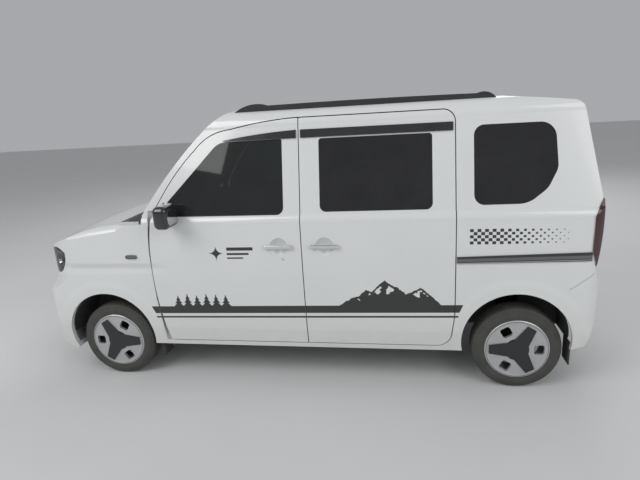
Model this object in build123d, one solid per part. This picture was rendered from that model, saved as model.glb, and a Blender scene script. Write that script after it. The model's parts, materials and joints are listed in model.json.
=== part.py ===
from build123d import *
from math import cos, hypot, radians, sin, sqrt
import os

# Driving dimensions in millimetres: the front faces -X, the left side faces -Y, the ground is Z = 0
WHEELBASE = 2780.0
FRONT_OVERHANG = 588.0
REAR_OVERHANG = 512.0
HALF_WIDTH = 812.0
ROOF_Z = 1862.0
BELT_Z = 1200.0
SILL_Z = 265.0
BASE_Z = 215.0
DOOR_BOTTOM = 303.0
DOOR_TOP = 1785.0
GROOVE_Z = 780.0

# Walls and gaps
WALL = 85.0
DOOR_T = 55.0
DOOR_FLANGE = 20.0
DOOR_STEP = 15.0
PANEL_T = 30.0
JAMB = 25.0
SHUT_GAP = 6.0
GLASS_T = 5.0
GLASS_FIT = 0.3
RUNNING_FIT = 0.05

# Wheels
TYRE_OD = 556.0
TYRE_W = 155.0
RIM_R = 189.0
COVER_R = 199.0
COVER_Y = 773.0
ARM_REACH = 172.0
ARM_WAIST = 60.0
SPINDLE_R = 22.0
HUB_R = 45.0
ARCH_FRONT_R = 328.0
ARCH_FRONT_Z = 329.0
ARCH_FRONT_SHIFT = -20.0
ARCH_REAR_R = 333.0
ARCH_REAR_Z = 339.0
ARCH_REAR_SHIFT = -14.0
LINER_T = 5.0
LINER_DEPTH = 345.0
KNUCKLE_Y = 680.0
KNUCKLE_PIN_R = 10.0

# Places worked out from the driving dimensions
LENGTH = FRONT_OVERHANG + WHEELBASE + REAR_OVERHANG
NOSE = -LENGTH / 2
TAIL = LENGTH / 2
FA = NOSE + FRONT_OVERHANG
RA = TAIL - REAR_OVERHANG
B_LINE = FA + 1431.0
C_LINE = RA - 390.0
W = HALF_WIDTH
WHEEL_Z = TYRE_OD / 2
NOSE_AXIS = FA + 2252.0
TAIL_AXIS = RA - 4428.0
BELT_SLOPE = 123.0 / 540.0


# Outlines: a point is a corner (a, b) or the middle of an arc (a, b, 1)
def loop(points, inset=0.0, keep=None):
    count = len(points)
    area = 0.0
    for i, p in enumerate(points):
        q = points[(i + 1) % count]
        area += p[0] * q[1] - q[0] * p[1]
    turn = 1 if area > 0 else -1
    moved = []
    for i, p in enumerate(points):
        before = points[i - 1]
        after = points[(i + 1) % count]
        d1 = Vector(p[0] - before[0], p[1] - before[1]).normalized()
        d2 = Vector(after[0] - p[0], after[1] - p[1]).normalized()
        nx = -(d1.Y + d2.Y) * turn
        ny = (d1.X + d2.X) * turn
        share = 1 + d1.dot(d2)
        x = p[0] + inset * nx / share
        y = p[1] + inset * ny / share
        if keep is not None and abs(p[0] - keep) < 1e-6:
            x = keep
        moved.append((x, y))
    edges = []
    i = 0
    while i < count:
        j = (i + 1) % count
        if len(points[j]) == 3:
            edges.append(ThreePointArc(moved[i], moved[j], moved[(i + 2) % count]))
            i += 2
        else:
            edges.append(Line(moved[i], moved[j]))
            i += 1
    return make_face(Curve() + edges)


def rounded(points, inset=0.0):
    """A closed outline of corners (a, b, radius), moved inwards by an inset."""
    corners = [(p[0], p[1]) for p in points]
    path = FilletPolyline(*corners, radius=[p[2] for p in points], close=True)
    face = make_face(path)
    if inset:
        face = offset(face, -inset, kind=Kind.INTERSECTION)
    return face


def across(face, y0, y1):
    """An outline in X and Z pushed along Y from y0 to y1."""
    return extrude(Plane.XZ.offset(-y1) * face, y1 - y0, dir=(0, -1, 0))


def along(face, x0, x1):
    """An outline in Y and Z pushed along X from x0 to x1."""
    return extrude(Plane.YZ.offset(x0) * face, x1 - x0, dir=(1, 0, 0))


def block(x0, x1, y0, y1, z0, z1):
    return Pos((x0 + x1) / 2, (y0 + y1) / 2, (z0 + z1) / 2) * Box(x1 - x0, y1 - y0, z1 - z0)


def soft_block(x0, x1, y0, y1, z0, z1, radius):
    body = block(x0, x1, y0, y1, z0, z1)
    return fillet(body.edges(), radius)


def rod(radius, x, y0, y1, z):
    """A round bar along Y."""
    return Pos(x, (y0 + y1) / 2, z) * Rot(90, 0, 0) * Cylinder(radius, y1 - y0)


def post(radius, x, y, z0, z1):
    """A round bar along Z."""
    return Pos(x, y, (z0 + z1) / 2) * Cylinder(radius, z1 - z0)


def other_side(shape):
    return mirror(shape, about=Plane.XZ)


def both(shape):
    return Compound(children=[s for s in shape.solids()] + [s for s in other_side(shape).solids()])


# Body hull: a cross-section pushed lengthwise, cut by a turned nose, a turned tail and a plan
SECTION = [
    (0, BASE_Z),
    (W - 44, BASE_Z),
    (W - 16, 400),
    (W, GROOVE_Z, 1),
    (W - 6, BELT_Z - 60),
    (W - 14, BELT_Z - 22, 1),
    (W - 34, BELT_Z),
    (W - 34 - (ROOF_Z - 122 - BELT_Z) * BELT_SLOPE, ROOF_Z - 122),
    (W - 190, ROOF_Z - 50, 1),
    (W - 267, ROOF_Z - 19),
    (280, ROOF_Z - 5, 1),
    (0, ROOF_Z),
]
FRONT = [
    (NOSE_AXIS, 100),
    (NOSE + 150, 100),
    (NOSE + 150, BASE_Z),
    (NOSE + 60, 240, 1),
    (NOSE + 25, 310),
    (NOSE + 1, 480, 1),
    (NOSE + 6, 640),
    (NOSE + 35, 700, 1),
    (NOSE + 44, 760),
    (NOSE + 35, 870, 1),
    (NOSE + 60, 992),
    (FA - 300, BELT_Z - 112, 1),
    (FA + 152, BELT_Z - 50),
    (FA + 452, 1530, 1),
    (FA + 664, 1741),
    (FA + 792, 1825, 1),
    (FA + 952, ROOF_Z + 4),
    (NOSE_AXIS, ROOF_Z + 4),
]
REAR = [
    (TAIL_AXIS, 100),
    (TAIL - 90, 100),
    (TAIL - 90, 240),
    (TAIL - 25, 420, 1),
    (TAIL, 620),
    (TAIL - 4, 700),
    (TAIL - 44, 850),
    (TAIL - 23, 1040, 1),
    (TAIL - 30, BELT_Z + 62),
    (TAIL - 134, 1738),
    (TAIL - 160, 1785, 1),
    (TAIL - 205, ROOF_Z - 60),
    (TAIL - 645, ROOF_Z - 14, 1),
    (TAIL - 1440, ROOF_Z + 4),
    (TAIL_AXIS, ROOF_Z + 4),
]
FRONT_CORNER_R = 150.0
LAMP_CORNER_R = 400.0
WAIST_Z = 745.0
SHELF_SLOPE = 0.85
REAR_CORNER_R = 110.0


def plan(inset, front_r=FRONT_CORNER_R):
    front_x = NOSE_AXIS - sqrt((NOSE_AXIS - NOSE) ** 2 - W ** 2)
    rear_x = TAIL_AXIS + sqrt((TAIL - TAIL_AXIS) ** 2 - W ** 2)
    face = loop([
        (front_x, -W),
        (rear_x, -W),
        (TAIL, 0, 1),
        (rear_x, W),
        (front_x, W),
        (NOSE, 0, 1),
    ], inset)
    corners = face.vertices()
    face = fillet(corners.sort_by(Axis.X)[:2], front_r - inset)
    rear_corners = face.vertices().filter_by(lambda v: v.X > rear_x - inset - 1 and abs(v.Y) > W / 2)
    return fillet(rear_corners, REAR_CORNER_R - inset)


HULLS = {}


def hull(inset):
    """The body's outer form, moved inwards by an inset."""
    if inset not in HULLS:
        HULLS[inset] = make_hull(inset)
    return HULLS[inset]


def make_hull(inset):
    half = loop(SECTION, inset, keep=0)
    section = half + mirror(half, about=Plane.YZ)
    body = along(section, NOSE - 200, TAIL + 200)
    nose_axis = Axis((NOSE_AXIS, 0, 0), (0, 0, 1))
    tail_axis = Axis((TAIL_AXIS, 0, 0), (0, 0, 1))
    body = body & revolve(Plane.XZ * loop(FRONT, inset, keep=NOSE_AXIS), axis=nose_axis)
    body = body & revolve(Plane.XZ * loop(REAR, inset, keep=TAIL_AXIS), axis=tail_axis)
    body = body & extrude(plan(inset), ROOF_Z + 100, dir=(0, 0, 1))
    cuts = [corner_cut(inset)]
    if inset < SHOULDER_R:
        cuts.append(shoulder_cut(inset))
    for cut in cuts:
        body = body - cut - other_side(cut)
    return body


def corner_cut(inset):
    """What the nose loses at its corner above the bumper's sloping shelf."""
    ring = extrude(plan(inset), ROOF_Z, dir=(0, 0, 1))
    ring = ring - extrude(plan(inset, LAMP_CORNER_R), ROOF_Z, dir=(0, 0, 1))
    reach = LAMP_CORNER_R * sqrt(0.5)
    low = WAIST_Z - inset * hypot(1, SHELF_SLOPE)
    wedge = Polygon(
        (-300, ROOF_Z), (-300, low + 60 * SHELF_SLOPE), (-60, low + 60 * SHELF_SLOPE),
        (300, low - 300 * SHELF_SLOPE), (300, ROOF_Z), align=None)
    corner = (LAMP_CENTRE_X - reach, -LAMP_CENTRE_Y - reach, 0)
    place = Plane(origin=corner, x_dir=(-1, -1, 0), z_dir=(-1, 1, 0))
    ring = ring & extrude(place * wedge, 500, both=True)
    return ring & block(NOSE - 50, FA, -W - 50, -W / 4, BASE_Z, ROOF_Z)


# Centre of the larger front corner in plan
LAMP_CENTRE_Y = W - LAMP_CORNER_R
LAMP_CENTRE_X = NOSE_AXIS - sqrt((NOSE_AXIS - NOSE - LAMP_CORNER_R) ** 2 - LAMP_CENTRE_Y ** 2)
SHOULDER_R = 55.0
# The shoulder's crest: place along the vehicle, height, and how far it runs out beyond the side
SHOULDER_LINE = (
    (NOSE + 60, 980.0, 0.0),
    (FA - 300, 1080.0, 0.0),
    (FA - 80, 1118.0, 0.0),
    (FA + 152, BELT_Z - 52, 0.0),
    (FA + 440, BELT_Z + 30, 45.0),
)


def shoulder_cut(inset):
    """What lies outside the rounded shoulder between bonnet and fender."""
    sections = []
    for x, z, out in SHOULDER_LINE:
        centre = (x, -(W - 2 - SHOULDER_R + out), z - SHOULDER_R)
        place = Plane(origin=centre, x_dir=(0, -1, 0), z_dir=(1, 0, 0))
        sections.append(place * (Pos(100, -100) * Rectangle(200, 200) - Circle(SHOULDER_R - inset)))
    return loft(sections, ruled=True)


PROUD = 8.0
GLASS_OUT = 3.0

H_PROUD = hull(-PROUD)
H_OUT = hull(0)
H_GLASS_OUT = hull(GLASS_OUT)
H_GLASS_IN = hull(GLASS_OUT + GLASS_T)
H_FLANGE = hull(DOOR_FLANGE)
H_PANEL = hull(PANEL_T)
H_DOOR = hull(DOOR_T)
H_JAMB = hull(DOOR_T + 5)
H_WALL = hull(WALL)

# Side outlines in X and Z
FRONT_DOOR = [
    (FA + 435, DOOR_BOTTOM),
    (FA + 388, 620, 1),
    (FA + 382, 908),
    (FA + 396, 1080, 1),
    (FA + 424, BELT_Z + 20),
    (FA + 528, BELT_Z + 175),
    (FA + 635, 1511, 1),
    (FA + 742, 1620),
    (FA + 830, 1690, 1),
    (FA + 982, 1733),
    (FA + 1184, 1767, 1),
    (B_LINE - SHUT_GAP / 2, DOOR_TOP),
    (B_LINE - SHUT_GAP / 2, DOOR_BOTTOM),
]
SLIDING_DOOR = [
    (B_LINE + SHUT_GAP / 2, DOOR_BOTTOM, 12),
    (C_LINE - 30, DOOR_BOTTOM, 90),
    (C_LINE - SHUT_GAP / 2, 520, 300),
    (C_LINE - SHUT_GAP / 2, DOOR_TOP, 70),
    (B_LINE + SHUT_GAP / 2, DOOR_TOP, 12),
]
FRONT_WINDOW = [
    (B_LINE - 108, BELT_Z - 6, 45),
    (B_LINE - 108, 1662, 12),
    (FA + 900, 1658, 120),
    (FA + 520, BELT_Z + 80, 60),
    (FA + 505, BELT_Z - 4, 14),
]
SLIDING_WINDOW = [
    (B_LINE + 128, BELT_Z + 6, 40),
    (C_LINE - 136, BELT_Z + 6, 40),
    (C_LINE - 136, 1655, 20),
    (B_LINE + 128, 1655, 20),
]
QUARTER_WINDOW = [
    (RA - 285, BELT_Z + 24, 60),
    (RA + 20, BELT_Z + 26, 150),
    (RA + 130, BELT_Z + 112, 130),
    (RA + 186, BELT_Z + 225, 90),
    (RA + 170, 1687, 90),
    (RA - 285, 1687, 60),
]
BUMPER_SEAM_FRONT = (FA - 265, 792)
BUMPER_SEAM_ARCH = (FA - 190, 590)
REAR_SEAM_LOW = (RA + 264, 704)
REAR_SEAM_HIGH = (RA + 396, 805)


def door_blank(face, face_inner):
    """A side door slab: a full outer flange and a narrower inner box."""
    outer = across(face, -W - 50, -W / 2) & (H_OUT - H_FLANGE)
    inner = across(face_inner, -W - 50, -W / 2) & (H_OUT - H_DOOR)
    return outer + inner


def windscreen_sides():
    """Everything outboard of the windscreen glass and of the roof's drip line, in Y and Z."""
    return Polygon(
        (-(W - 52), BELT_Z - 50), (-(W - 197), ROOF_Z - 117), (-(W - 238), ROOF_Z - 62),
        (-(W - 252), ROOF_Z - 56), (-(W - 252), ROOF_Z + 60), (-W - 60, ROOF_Z + 60),
        (-W - 60, BELT_Z - 50), align=None)


SILL_DEPTH = 130.0
HINGE_ROWS = (470.0, 960.0)
HINGE_PIN_R = 6.0
HINGE_KNUCKLE_R = 13.0
HINGE_H = 44.0
HINGE_REACH = 36.0
POST_IN = 662.0
FLOOR_Z = 320.0
FLOOR_T = 20.0


GATE_HALF = 634.0
GATE_BOTTOM = 766.0
GATE_TOP_HALF = 556.0
GATE_HINGE_Y = 380.0
GATE_AXIS_X = TAIL - 226.0
GATE_AXIS_Z = 1790.0
ROOF_END_X = GATE_AXIS_X + 20.0
GATE_FRONT_X = ROOF_END_X + 10.0
HINGE_NOTCH = 22.0
BONNET_HALF = 690.0
BONNET_FRONT_Z = 988.0
BONNET_BACK_X = FA + 122.0
BONNET_AXIS_X = BONNET_BACK_X - 10.0
BONNET_AXIS_Z = 1112.0
BONNET_SWEEP = 45.0
BONNET_HINGE_Y = 560.0
DOOR_AXIS_X = FA + 425.0
DOOR_AXIS_Y = W - 30.0
HINGE_POCKET_Y = W - 17.0
COWL_Z = BELT_Z - 48.0
LAMP_TURN = radians(50)


def gate_face(grow):
    g = grow
    return Polygon(
        (-GATE_HALF - g, GATE_BOTTOM - g), (-GATE_HALF - g, BELT_Z), (-GATE_TOP_HALF - g, 1860),
        (GATE_TOP_HALF + g, 1860), (GATE_HALF + g, BELT_Z), (GATE_HALF + g, GATE_BOTTOM - g),
        align=None)


def front_door_sweep(margin):
    """The space that the door's front edge turns through about its hinge axis."""
    rows = [
        (DOOR_BOTTOM - 6, 22), (420, 30), (620, 48), (908, 53), (1080, 44), (BELT_Z - 10, 28),
        (BELT_Z + 40, 24)]
    points = [(0, rows[0][0])] + [(r + margin, z) for z, r in rows] + [(0, rows[-1][0])]
    turned = revolve(Plane.XZ * make_face(Polyline(*points, close=True)), axis=Axis.Z)
    return Pos(DOOR_AXIS_X, -DOOR_AXIS_Y, 0) * turned


def front_door_drum():
    """Room for the door's turning front edge in the post behind the fender."""
    drum = post(60, DOOR_AXIS_X, -DOOR_AXIS_Y, DOOR_BOTTOM - 6, BELT_Z - 60)
    return drum + post(38, DOOR_AXIS_X, -DOOR_AXIS_Y, BELT_Z - 60, BELT_Z + 40)


def body_side():
    sill_in = W - SILL_DEPTH
    zone = block(FA + 345, RA + 250, -W - 50, -sill_in, SILL_Z, BELT_Z - 40)
    zone = zone + along(windscreen_sides(), FA + 345, FA + 1100)
    zone = zone + block(FA + 1100, RA + 250, -W - 50, -(W - 252), BELT_Z - 50, ROOF_Z + 50)
    zone = zone + block(RA + 250, TAIL + 50, -W - 50, -(W - 252), SILL_Z, ROOF_Z + 50)
    side = (H_OUT - H_WALL) & zone
    side = side + block(FA + 345, FA + 400, -(W - WALL - 8), -POST_IN, FLOOR_Z, BELT_Z - 110)
    nose_side = across(loop([
        (FA + 100, BASE_Z), (FA + 435 - SHUT_GAP, BASE_Z), (FA + 435 - SHUT_GAP, DOOR_BOTTOM),
        (FA + 388 - SHUT_GAP, 620, 1), (FA + 382 - SHUT_GAP, 908),
        (FA + 396 - SHUT_GAP, 1080, 1), (FA + 413, BELT_Z - 50), (FA + 100, BELT_Z - 50)]), -W - 50, 0)
    side = side - (nose_side - H_PANEL)
    side = side - (across(loop(FRONT_DOOR, -SHUT_GAP), -W - 50, 0) - H_JAMB)
    side = side - across(loop(FRONT_DOOR, JAMB), -W - 50, 0)
    side = side - (across(rounded(SLIDING_DOOR, -SHUT_GAP), -W - 50, 0) - H_JAMB)
    side = side - across(rounded(SLIDING_DOOR, JAMB), -W - 50, 0)
    side = side - front_door_drum()
    side = side - across(rounded(QUARTER_WINDOW), -W - 50, 0)
    side = side - rod(ARCH_REAR_R, RA + ARCH_REAR_SHIFT, -W - 50, 0, ARCH_REAR_Z)
    side = side - along(gate_face(SHUT_GAP), ROOF_END_X, TAIL + 50)
    side = side - across(bumper_zone(), -W - 50, 0)
    side = side - tail_lamp_zone(GLASS_FIT)
    pads = H_DOOR - H_JAMB
    for x in (B_LINE + SHUT_GAP / 2 + DOOR_STEP, C_LINE - SHUT_GAP / 2 - JAMB):
        for z in (640, 1010):
            side = side + (pads & block(x, x + JAMB - DOOR_STEP, -W, -W / 2, z, z + 60))
    for z in HINGE_ROWS:
        side = side - block(
            FA + 400, DOOR_AXIS_X + 9 + GLASS_FIT, -HINGE_POCKET_Y, -DOOR_AXIS_Y + 80 + GLASS_FIT,
            z - HINGE_REACH - GLASS_FIT, z + HINGE_REACH + GLASS_FIT)
    return max(side.solids(), key=lambda s: s.volume)


def bumper_zone():
    return Polygon(
        (RA + 200, BASE_Z - 10), (RA + 200, 560), REAR_SEAM_LOW, REAR_SEAM_HIGH,
        (RA + 430, GATE_BOTTOM - SHUT_GAP), (TAIL + 50, GATE_BOTTOM - SHUT_GAP), (TAIL + 50, BASE_Z - 10),
        align=None)


def rear_bumper():
    shell = (H_OUT - H_PANEL) & across(bumper_zone(), -W - 50, W + 50)
    shell = shell & block(RA + 200, TAIL + 20, -W - 50, W + 50, SILL_Z, ROOF_Z)
    shell = shell - across(Polygon(
        (RA + 200, SILL_Z - 60), (RA + 320, 290), (TAIL - 132, 314), (TAIL - 20, 372), (TAIL + 60, 372),
        (TAIL + 60, SILL_Z - 60), align=None), -W - 50, W + 50)
    shell = shell - along(gate_face(SHUT_GAP), RA + 250, TAIL + 50)
    return shell - rod(ARCH_REAR_R, RA + ARCH_REAR_SHIFT, -W - 50, W + 50, ARCH_REAR_Z)


def tail_lamp_zone(grow):
    g = grow
    side = Polygon(
        (TAIL - 86 - g, 1246 + g), (TAIL - 132 - g, 1150), (TAIL - 132 - g, 945), (TAIL - 96 - g, 838 - g),
        (TAIL + 60, 838 - g), (TAIL + 60, 1246 + g), align=None)
    return across(side, -W - 60, -GATE_HALF - SHUT_GAP - 8 + g)


BODY_SIDE = body_side()


def tail_lamps():
    lamp = (H_PROUD - H_FLANGE) & tail_lamp_zone(0)
    return both(lamp)


def roof_panel():
    zone = across(Polygon(
        (FA + 400, ROOF_Z - 56), (FA + 1100, ROOF_Z - 56), (FA + 1100, ROOF_Z - 160),
        (ROOF_END_X, ROOF_Z - 160), (ROOF_END_X, ROOF_Z + 50), (FA + 400, ROOF_Z + 50), align=None),
        -(W - 252), W - 252)
    panel = (H_OUT - H_PANEL) & zone
    for y in (-GATE_HINGE_Y, GATE_HINGE_Y):
        panel = panel - block(GATE_AXIS_X - HINGE_NOTCH, TAIL, y - 45, y + 45, ROOF_Z - 160, ROOF_Z)
    return panel


def windscreen():
    inner = Polygon(
        (-(W - 52.5), BELT_Z - 50), (-(W - 197.5), ROOF_Z - 117), (-(W - 238.5), ROOF_Z - 62),
        (-(W - 260), ROOF_Z - 56.3), (W - 260, ROOF_Z - 56.3), (W - 238.5, ROOF_Z - 62),
        (W - 197.5, ROOF_Z - 117), (W - 52.5, BELT_Z - 50), align=None)
    return (H_GLASS_OUT - H_GLASS_IN) & along(inner, FA + 100, FA + 1100)


def cowl_panel():
    zone = block(BONNET_BACK_X - 60, FA + 400, -W - 20, W + 20, COWL_Z - 60, COWL_Z - 2)
    strip = (H_GLASS_IN - H_PANEL) & zone
    strip = strip - across(Polygon(
        (BONNET_BACK_X - 80, BASE_Z), (BONNET_BACK_X + 12, BASE_Z), (BONNET_BACK_X + 12, ROOF_Z),
        (BONNET_BACK_X - 80, ROOF_Z), align=None), -W, W)
    strip = strip & block(FA, FA + 500, -BONNET_HALF - 3, BONNET_HALF + 3, BASE_Z, ROOF_Z)
    return strip - rod(BONNET_SWEEP, BONNET_AXIS_X, -W, W, BONNET_AXIS_Z)


def bonnet_zone(grow):
    g = grow
    side = Polygon(
        (NOSE - 20, BONNET_FRONT_Z - g), (BONNET_BACK_X + g, BONNET_FRONT_Z - g),
        (BONNET_BACK_X + g, BELT_Z), (NOSE - 20, BELT_Z), align=None)
    return across(side, -BONNET_HALF - g, BONNET_HALF + g)


def bonnet():
    skin = (H_OUT - H_FLANGE) & bonnet_zone(0)
    x, z = BONNET_AXIS_X, BONNET_AXIS_Z
    for y in (-BONNET_HINGE_Y, BONNET_HINGE_Y):
        skin = skin - block(x - 18, x + 12, y - 34, y + 34, z - 40, z + 10)
        skin = skin + rod(11, x, y - 16, y + 16, z) + block(x - 9, x + 9, y - 16, y + 16, z, z + 24)
        skin = skin - rod(HINGE_PIN_R + RUNNING_FIT, x, y - 34, y + 34, z)
    return skin


def seam_zone():
    """The nose cover and bumper, ahead of the fender seam."""
    return Polygon(
        (NOSE - 60, BASE_Z - 20), (FA - 180, BASE_Z - 20), BUMPER_SEAM_ARCH, BUMPER_SEAM_FRONT,
        (FA - 300, 815), (NOSE + 150, 830), (NOSE - 60, 830), align=None)


def nose_zone():
    """The bumper cover's side parts and the nose between the lamps."""
    nose = block(NOSE - 60, NOSE + 260, -W + 240, W - 240, 800, BONNET_FRONT_Z - SHUT_GAP)
    return across(seam_zone(), -W - 50, W + 50) + nose


GRILLE = [(-430, 300, 25), (430, 300, 25), (370, 400, 25), (-370, 400, 25)]


def front_bumper():
    cover = (H_OUT - H_PANEL) & nose_zone()
    cover = cover - rod(ARCH_FRONT_R, FA + ARCH_FRONT_SHIFT, -W - 50, W + 50, ARCH_FRONT_Z)
    cover = cover - lamp_prism(GLASS_FIT) - other_side(lamp_prism(GLASS_FIT))
    return cover - along(rounded(GRILLE), NOSE - 50, NOSE + 200)


def lower_grille():
    face = rounded(GRILLE, GLASS_FIT)
    grid = (H_GLASS_IN - H_PANEL) & along(face, NOSE - 50, NOSE + 200)
    for i in range(3):
        low = 312 + 27 * i
        slot = rounded([(-440, low, 8), (440, low, 8), (440, low + 18, 8), (-440, low + 18, 8)])
        grid = grid - (along(slot, NOSE - 50, NOSE + 200) - H_FLANGE)
    return grid


LAMP = [
    (-128, 62),
    (-70, 84, 1),
    (0, 90),
    (104, 92, 1),
    (146, 66),
    (132, -10, 1),
    (70, -80),
    (10, -94, 1),
    (-60, -80),
    (-124, -40, 1),
    (-144, 14),
    (-142, 42, 1),
]
LAMP_Z = 890.0


def lamp_prism(grow):
    away = Vector(-cos(LAMP_TURN), -sin(LAMP_TURN), 0)
    centre = Vector(LAMP_CENTRE_X, -LAMP_CENTRE_Y, LAMP_Z) + away * LAMP_CORNER_R
    place = Plane(origin=centre, x_dir=(-away.Y, away.X, 0), z_dir=away)
    return extrude(place * loop(LAMP, -grow), 170, both=True)


REPEATER_X = FA + 242.0
REPEATER_Z = 930.0


def front_lamps():
    lens = (H_OUT - H_PANEL) & lamp_prism(0)
    lens = max(lens.solids(), key=lambda s: s.volume)
    left, right = REPEATER_X - 42, REPEATER_X + 42
    low, high = REPEATER_Z - 13, REPEATER_Z + 13
    outline = rounded([(left, low, 12.5), (right, low, 12.5), (right, high, 12.5), (left, high, 12.5)])
    repeater = across(outline, -W - 8, -W + 20) - H_OUT
    repeater = max(repeater.solids(), key=lambda s: s.volume)
    return Compound(children=[*both(lens).solids(), *both(repeater).solids()])


def fender():
    shell = (H_OUT - H_PANEL) & block(NOSE - 20, FA + 436, -W - 50, -W / 4, SILL_Z, COWL_Z)
    door_side = across(loop([
        (FA + 700, BASE_Z), (FA + 435 - SHUT_GAP, BASE_Z), (FA + 435 - SHUT_GAP, DOOR_BOTTOM),
        (FA + 388 - SHUT_GAP, 620, 1), (FA + 382 - SHUT_GAP, 908),
        (FA + 396 - SHUT_GAP, 1080, 1), (FA + 413, BELT_Z - 50), (FA + 420, BELT_Z + 50),
        (FA + 700, BELT_Z + 50)]),
        -W - 50, 0)
    shell = shell - door_side - nose_zone()
    shell = shell - bonnet_zone(SHUT_GAP) - lamp_prism(GLASS_FIT)
    shell = shell - rod(ARCH_FRONT_R, FA + ARCH_FRONT_SHIFT, -W - 50, 0, ARCH_FRONT_Z) - front_door_sweep(5)
    shell = shell - block(FA + 122, FA + 500, -BONNET_HALF - 3, 0, COWL_Z - 120, COWL_Z + 50)
    screen = along(Polygon(
        (-(W - 52), BELT_Z - 50), (0, BELT_Z - 50), (0, BELT_Z + 50), (-(W - 75), BELT_Z + 50), align=None),
        FA + 100, FA + 500)
    return max((shell - screen - BODY_SIDE).solids(), key=lambda s: s.volume)


def quarter_glass():
    pane = (H_GLASS_OUT - H_GLASS_IN) & across(rounded(QUARTER_WINDOW, GLASS_FIT), -W - 50, -W / 2)
    return max(pane.solids(), key=lambda s: s.volume)


HANDLE_Z = 992.0
FRONT_HANDLE_X = B_LINE - 150.0
SLIDING_HANDLE_X = B_LINE + 150.0


def bowl(x):
    """The finger recess behind a pull handle."""
    return Pos(x, -W - 62, HANDLE_Z) * Sphere(86)


def pull_handle(x, reach):
    grip = Pos(x, -(W + 16), HANDLE_Z) * Box(2 * reach, 14, 26)
    grip = fillet(grip.edges(), 6)
    feet = Pos(x - reach + 14, -(W + 3), HANDLE_Z) * Box(22, 20, 22)
    feet = feet + Pos(x + reach - 14, -(W + 3), HANDLE_Z) * Box(22, 20, 22)
    return (grip + feet) - H_OUT


def sliding_door():
    slab = door_blank(rounded(SLIDING_DOOR), rounded(SLIDING_DOOR, DOOR_STEP))
    slab = slab - across(rounded(SLIDING_WINDOW), -W - 50, 0) - bowl(SLIDING_HANDLE_X)
    return max(slab.solids(), key=lambda s: s.volume)


def sliding_glass():
    pane = (H_GLASS_OUT - H_GLASS_IN) & across(rounded(SLIDING_WINDOW, GLASS_FIT), -W - 50, -W / 2)
    return max(pane.solids(), key=lambda s: s.volume)


def front_door():
    slab = door_blank(loop(FRONT_DOOR), loop(FRONT_DOOR, DOOR_STEP))
    slab = slab - across(rounded(FRONT_WINDOW), -W - 50, 0) - bowl(FRONT_HANDLE_X)
    for z in HINGE_ROWS:
        pocket = block(DOOR_AXIS_X - 60, DOOR_AXIS_X + 24, -HINGE_POCKET_Y, -W / 2, z - 45, z + 45)
        slab = slab - pocket
        knuckle = post(HINGE_KNUCKLE_R, DOOR_AXIS_X, -DOOR_AXIS_Y, z - HINGE_H / 2, z + HINGE_H / 2)
        low, high = z - HINGE_H / 2, z + HINGE_H / 2
        web = block(DOOR_AXIS_X, DOOR_AXIS_X + 26, -DOOR_AXIS_Y - 8, -DOOR_AXIS_Y + 8, low, high)
        slab = slab + knuckle + web
        slab = slab - post(HINGE_PIN_R + RUNNING_FIT, DOOR_AXIS_X, -DOOR_AXIS_Y, z - 40, z + 40)
    return max(slab.solids(), key=lambda s: s.volume)


def front_glass():
    pane = (H_GLASS_OUT - H_GLASS_IN) & across(rounded(FRONT_WINDOW, GLASS_FIT), -W - 50, -W / 2)
    return max(pane.solids(), key=lambda s: s.volume)


def door_hinges():
    """Fixed hinge pins of one front door, with the arms that hold them."""
    sets = []
    for z in HINGE_ROWS:
        pin = post(HINGE_PIN_R, DOOR_AXIS_X, -DOOR_AXIS_Y, z - HINGE_REACH, z + HINGE_REACH)
        arms = pin
        for low in (z - HINGE_REACH, z + HINGE_REACH - 10):
            arms = arms + post(9, DOOR_AXIS_X, -DOOR_AXIS_Y, low, low + 10)
            arms = arms + block(
                DOOR_AXIS_X - 9, DOOR_AXIS_X + 9, -DOOR_AXIS_Y, -DOOR_AXIS_Y + 50, low, low + 10)
            arms = arms + block(
                FA + 400, DOOR_AXIS_X + 9, -DOOR_AXIS_Y + 50, -DOOR_AXIS_Y + 80, low, low + 10)
        sets.append(arms)
    return Compound(children=sets)


MIRROR_X = FA + 577.0
MIRROR_Y = W + 85.0
MIRROR_Z = BELT_Z + 26.0


def door_mirror():
    shell = Pos(MIRROR_X, -MIRROR_Y, MIRROR_Z) * Box(104, 176, 150)
    shell = fillet(shell.edges(), 36)
    face = Pos(MIRROR_X + 50, -MIRROR_Y, MIRROR_Z) * Box(12, 140, 116)
    shell = shell - face
    arm = Pos(MIRROR_X - 48, -(W - 10), BELT_Z + 12) * Rot(0, 0, 28) * Box(90, 70, 28)
    arm = arm - H_OUT
    arm = max(arm.solids(), key=lambda s: s.volume)
    return shell + arm


GATE_WINDOW = [(-520, BELT_Z + 30, 60), (520, BELT_Z + 30, 60), (465, 1670, 60), (-465, 1670, 60)]


def tailgate():
    zone = along(gate_face(0), TAIL - 400, TAIL + 50)
    zone = zone - block(TAIL - 420, GATE_FRONT_X, -W, W, BASE_Z, ROOF_Z + 50)
    slab = (H_OUT - H_DOOR) & zone
    slab = slab - along(rounded(GATE_WINDOW), TAIL - 400, TAIL + 50)
    for y in (-GATE_HINGE_Y, GATE_HINGE_Y):
        slab = slab + rod(12, GATE_AXIS_X, y - 25, y + 25, GATE_AXIS_Z)
        slab = slab + block(GATE_AXIS_X, GATE_FRONT_X + 5, y - 25, y + 25, GATE_AXIS_Z - 10, GATE_AXIS_Z + 4)
        slab = slab - rod(HINGE_PIN_R + RUNNING_FIT, GATE_AXIS_X, y - 46, y + 46, GATE_AXIS_Z)
    return max(slab.solids(), key=lambda s: s.volume)


def tailgate_glass():
    return (H_GLASS_OUT - H_GLASS_IN) & along(rounded(GATE_WINDOW, GLASS_FIT), TAIL - 400, TAIL + 50)


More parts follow.
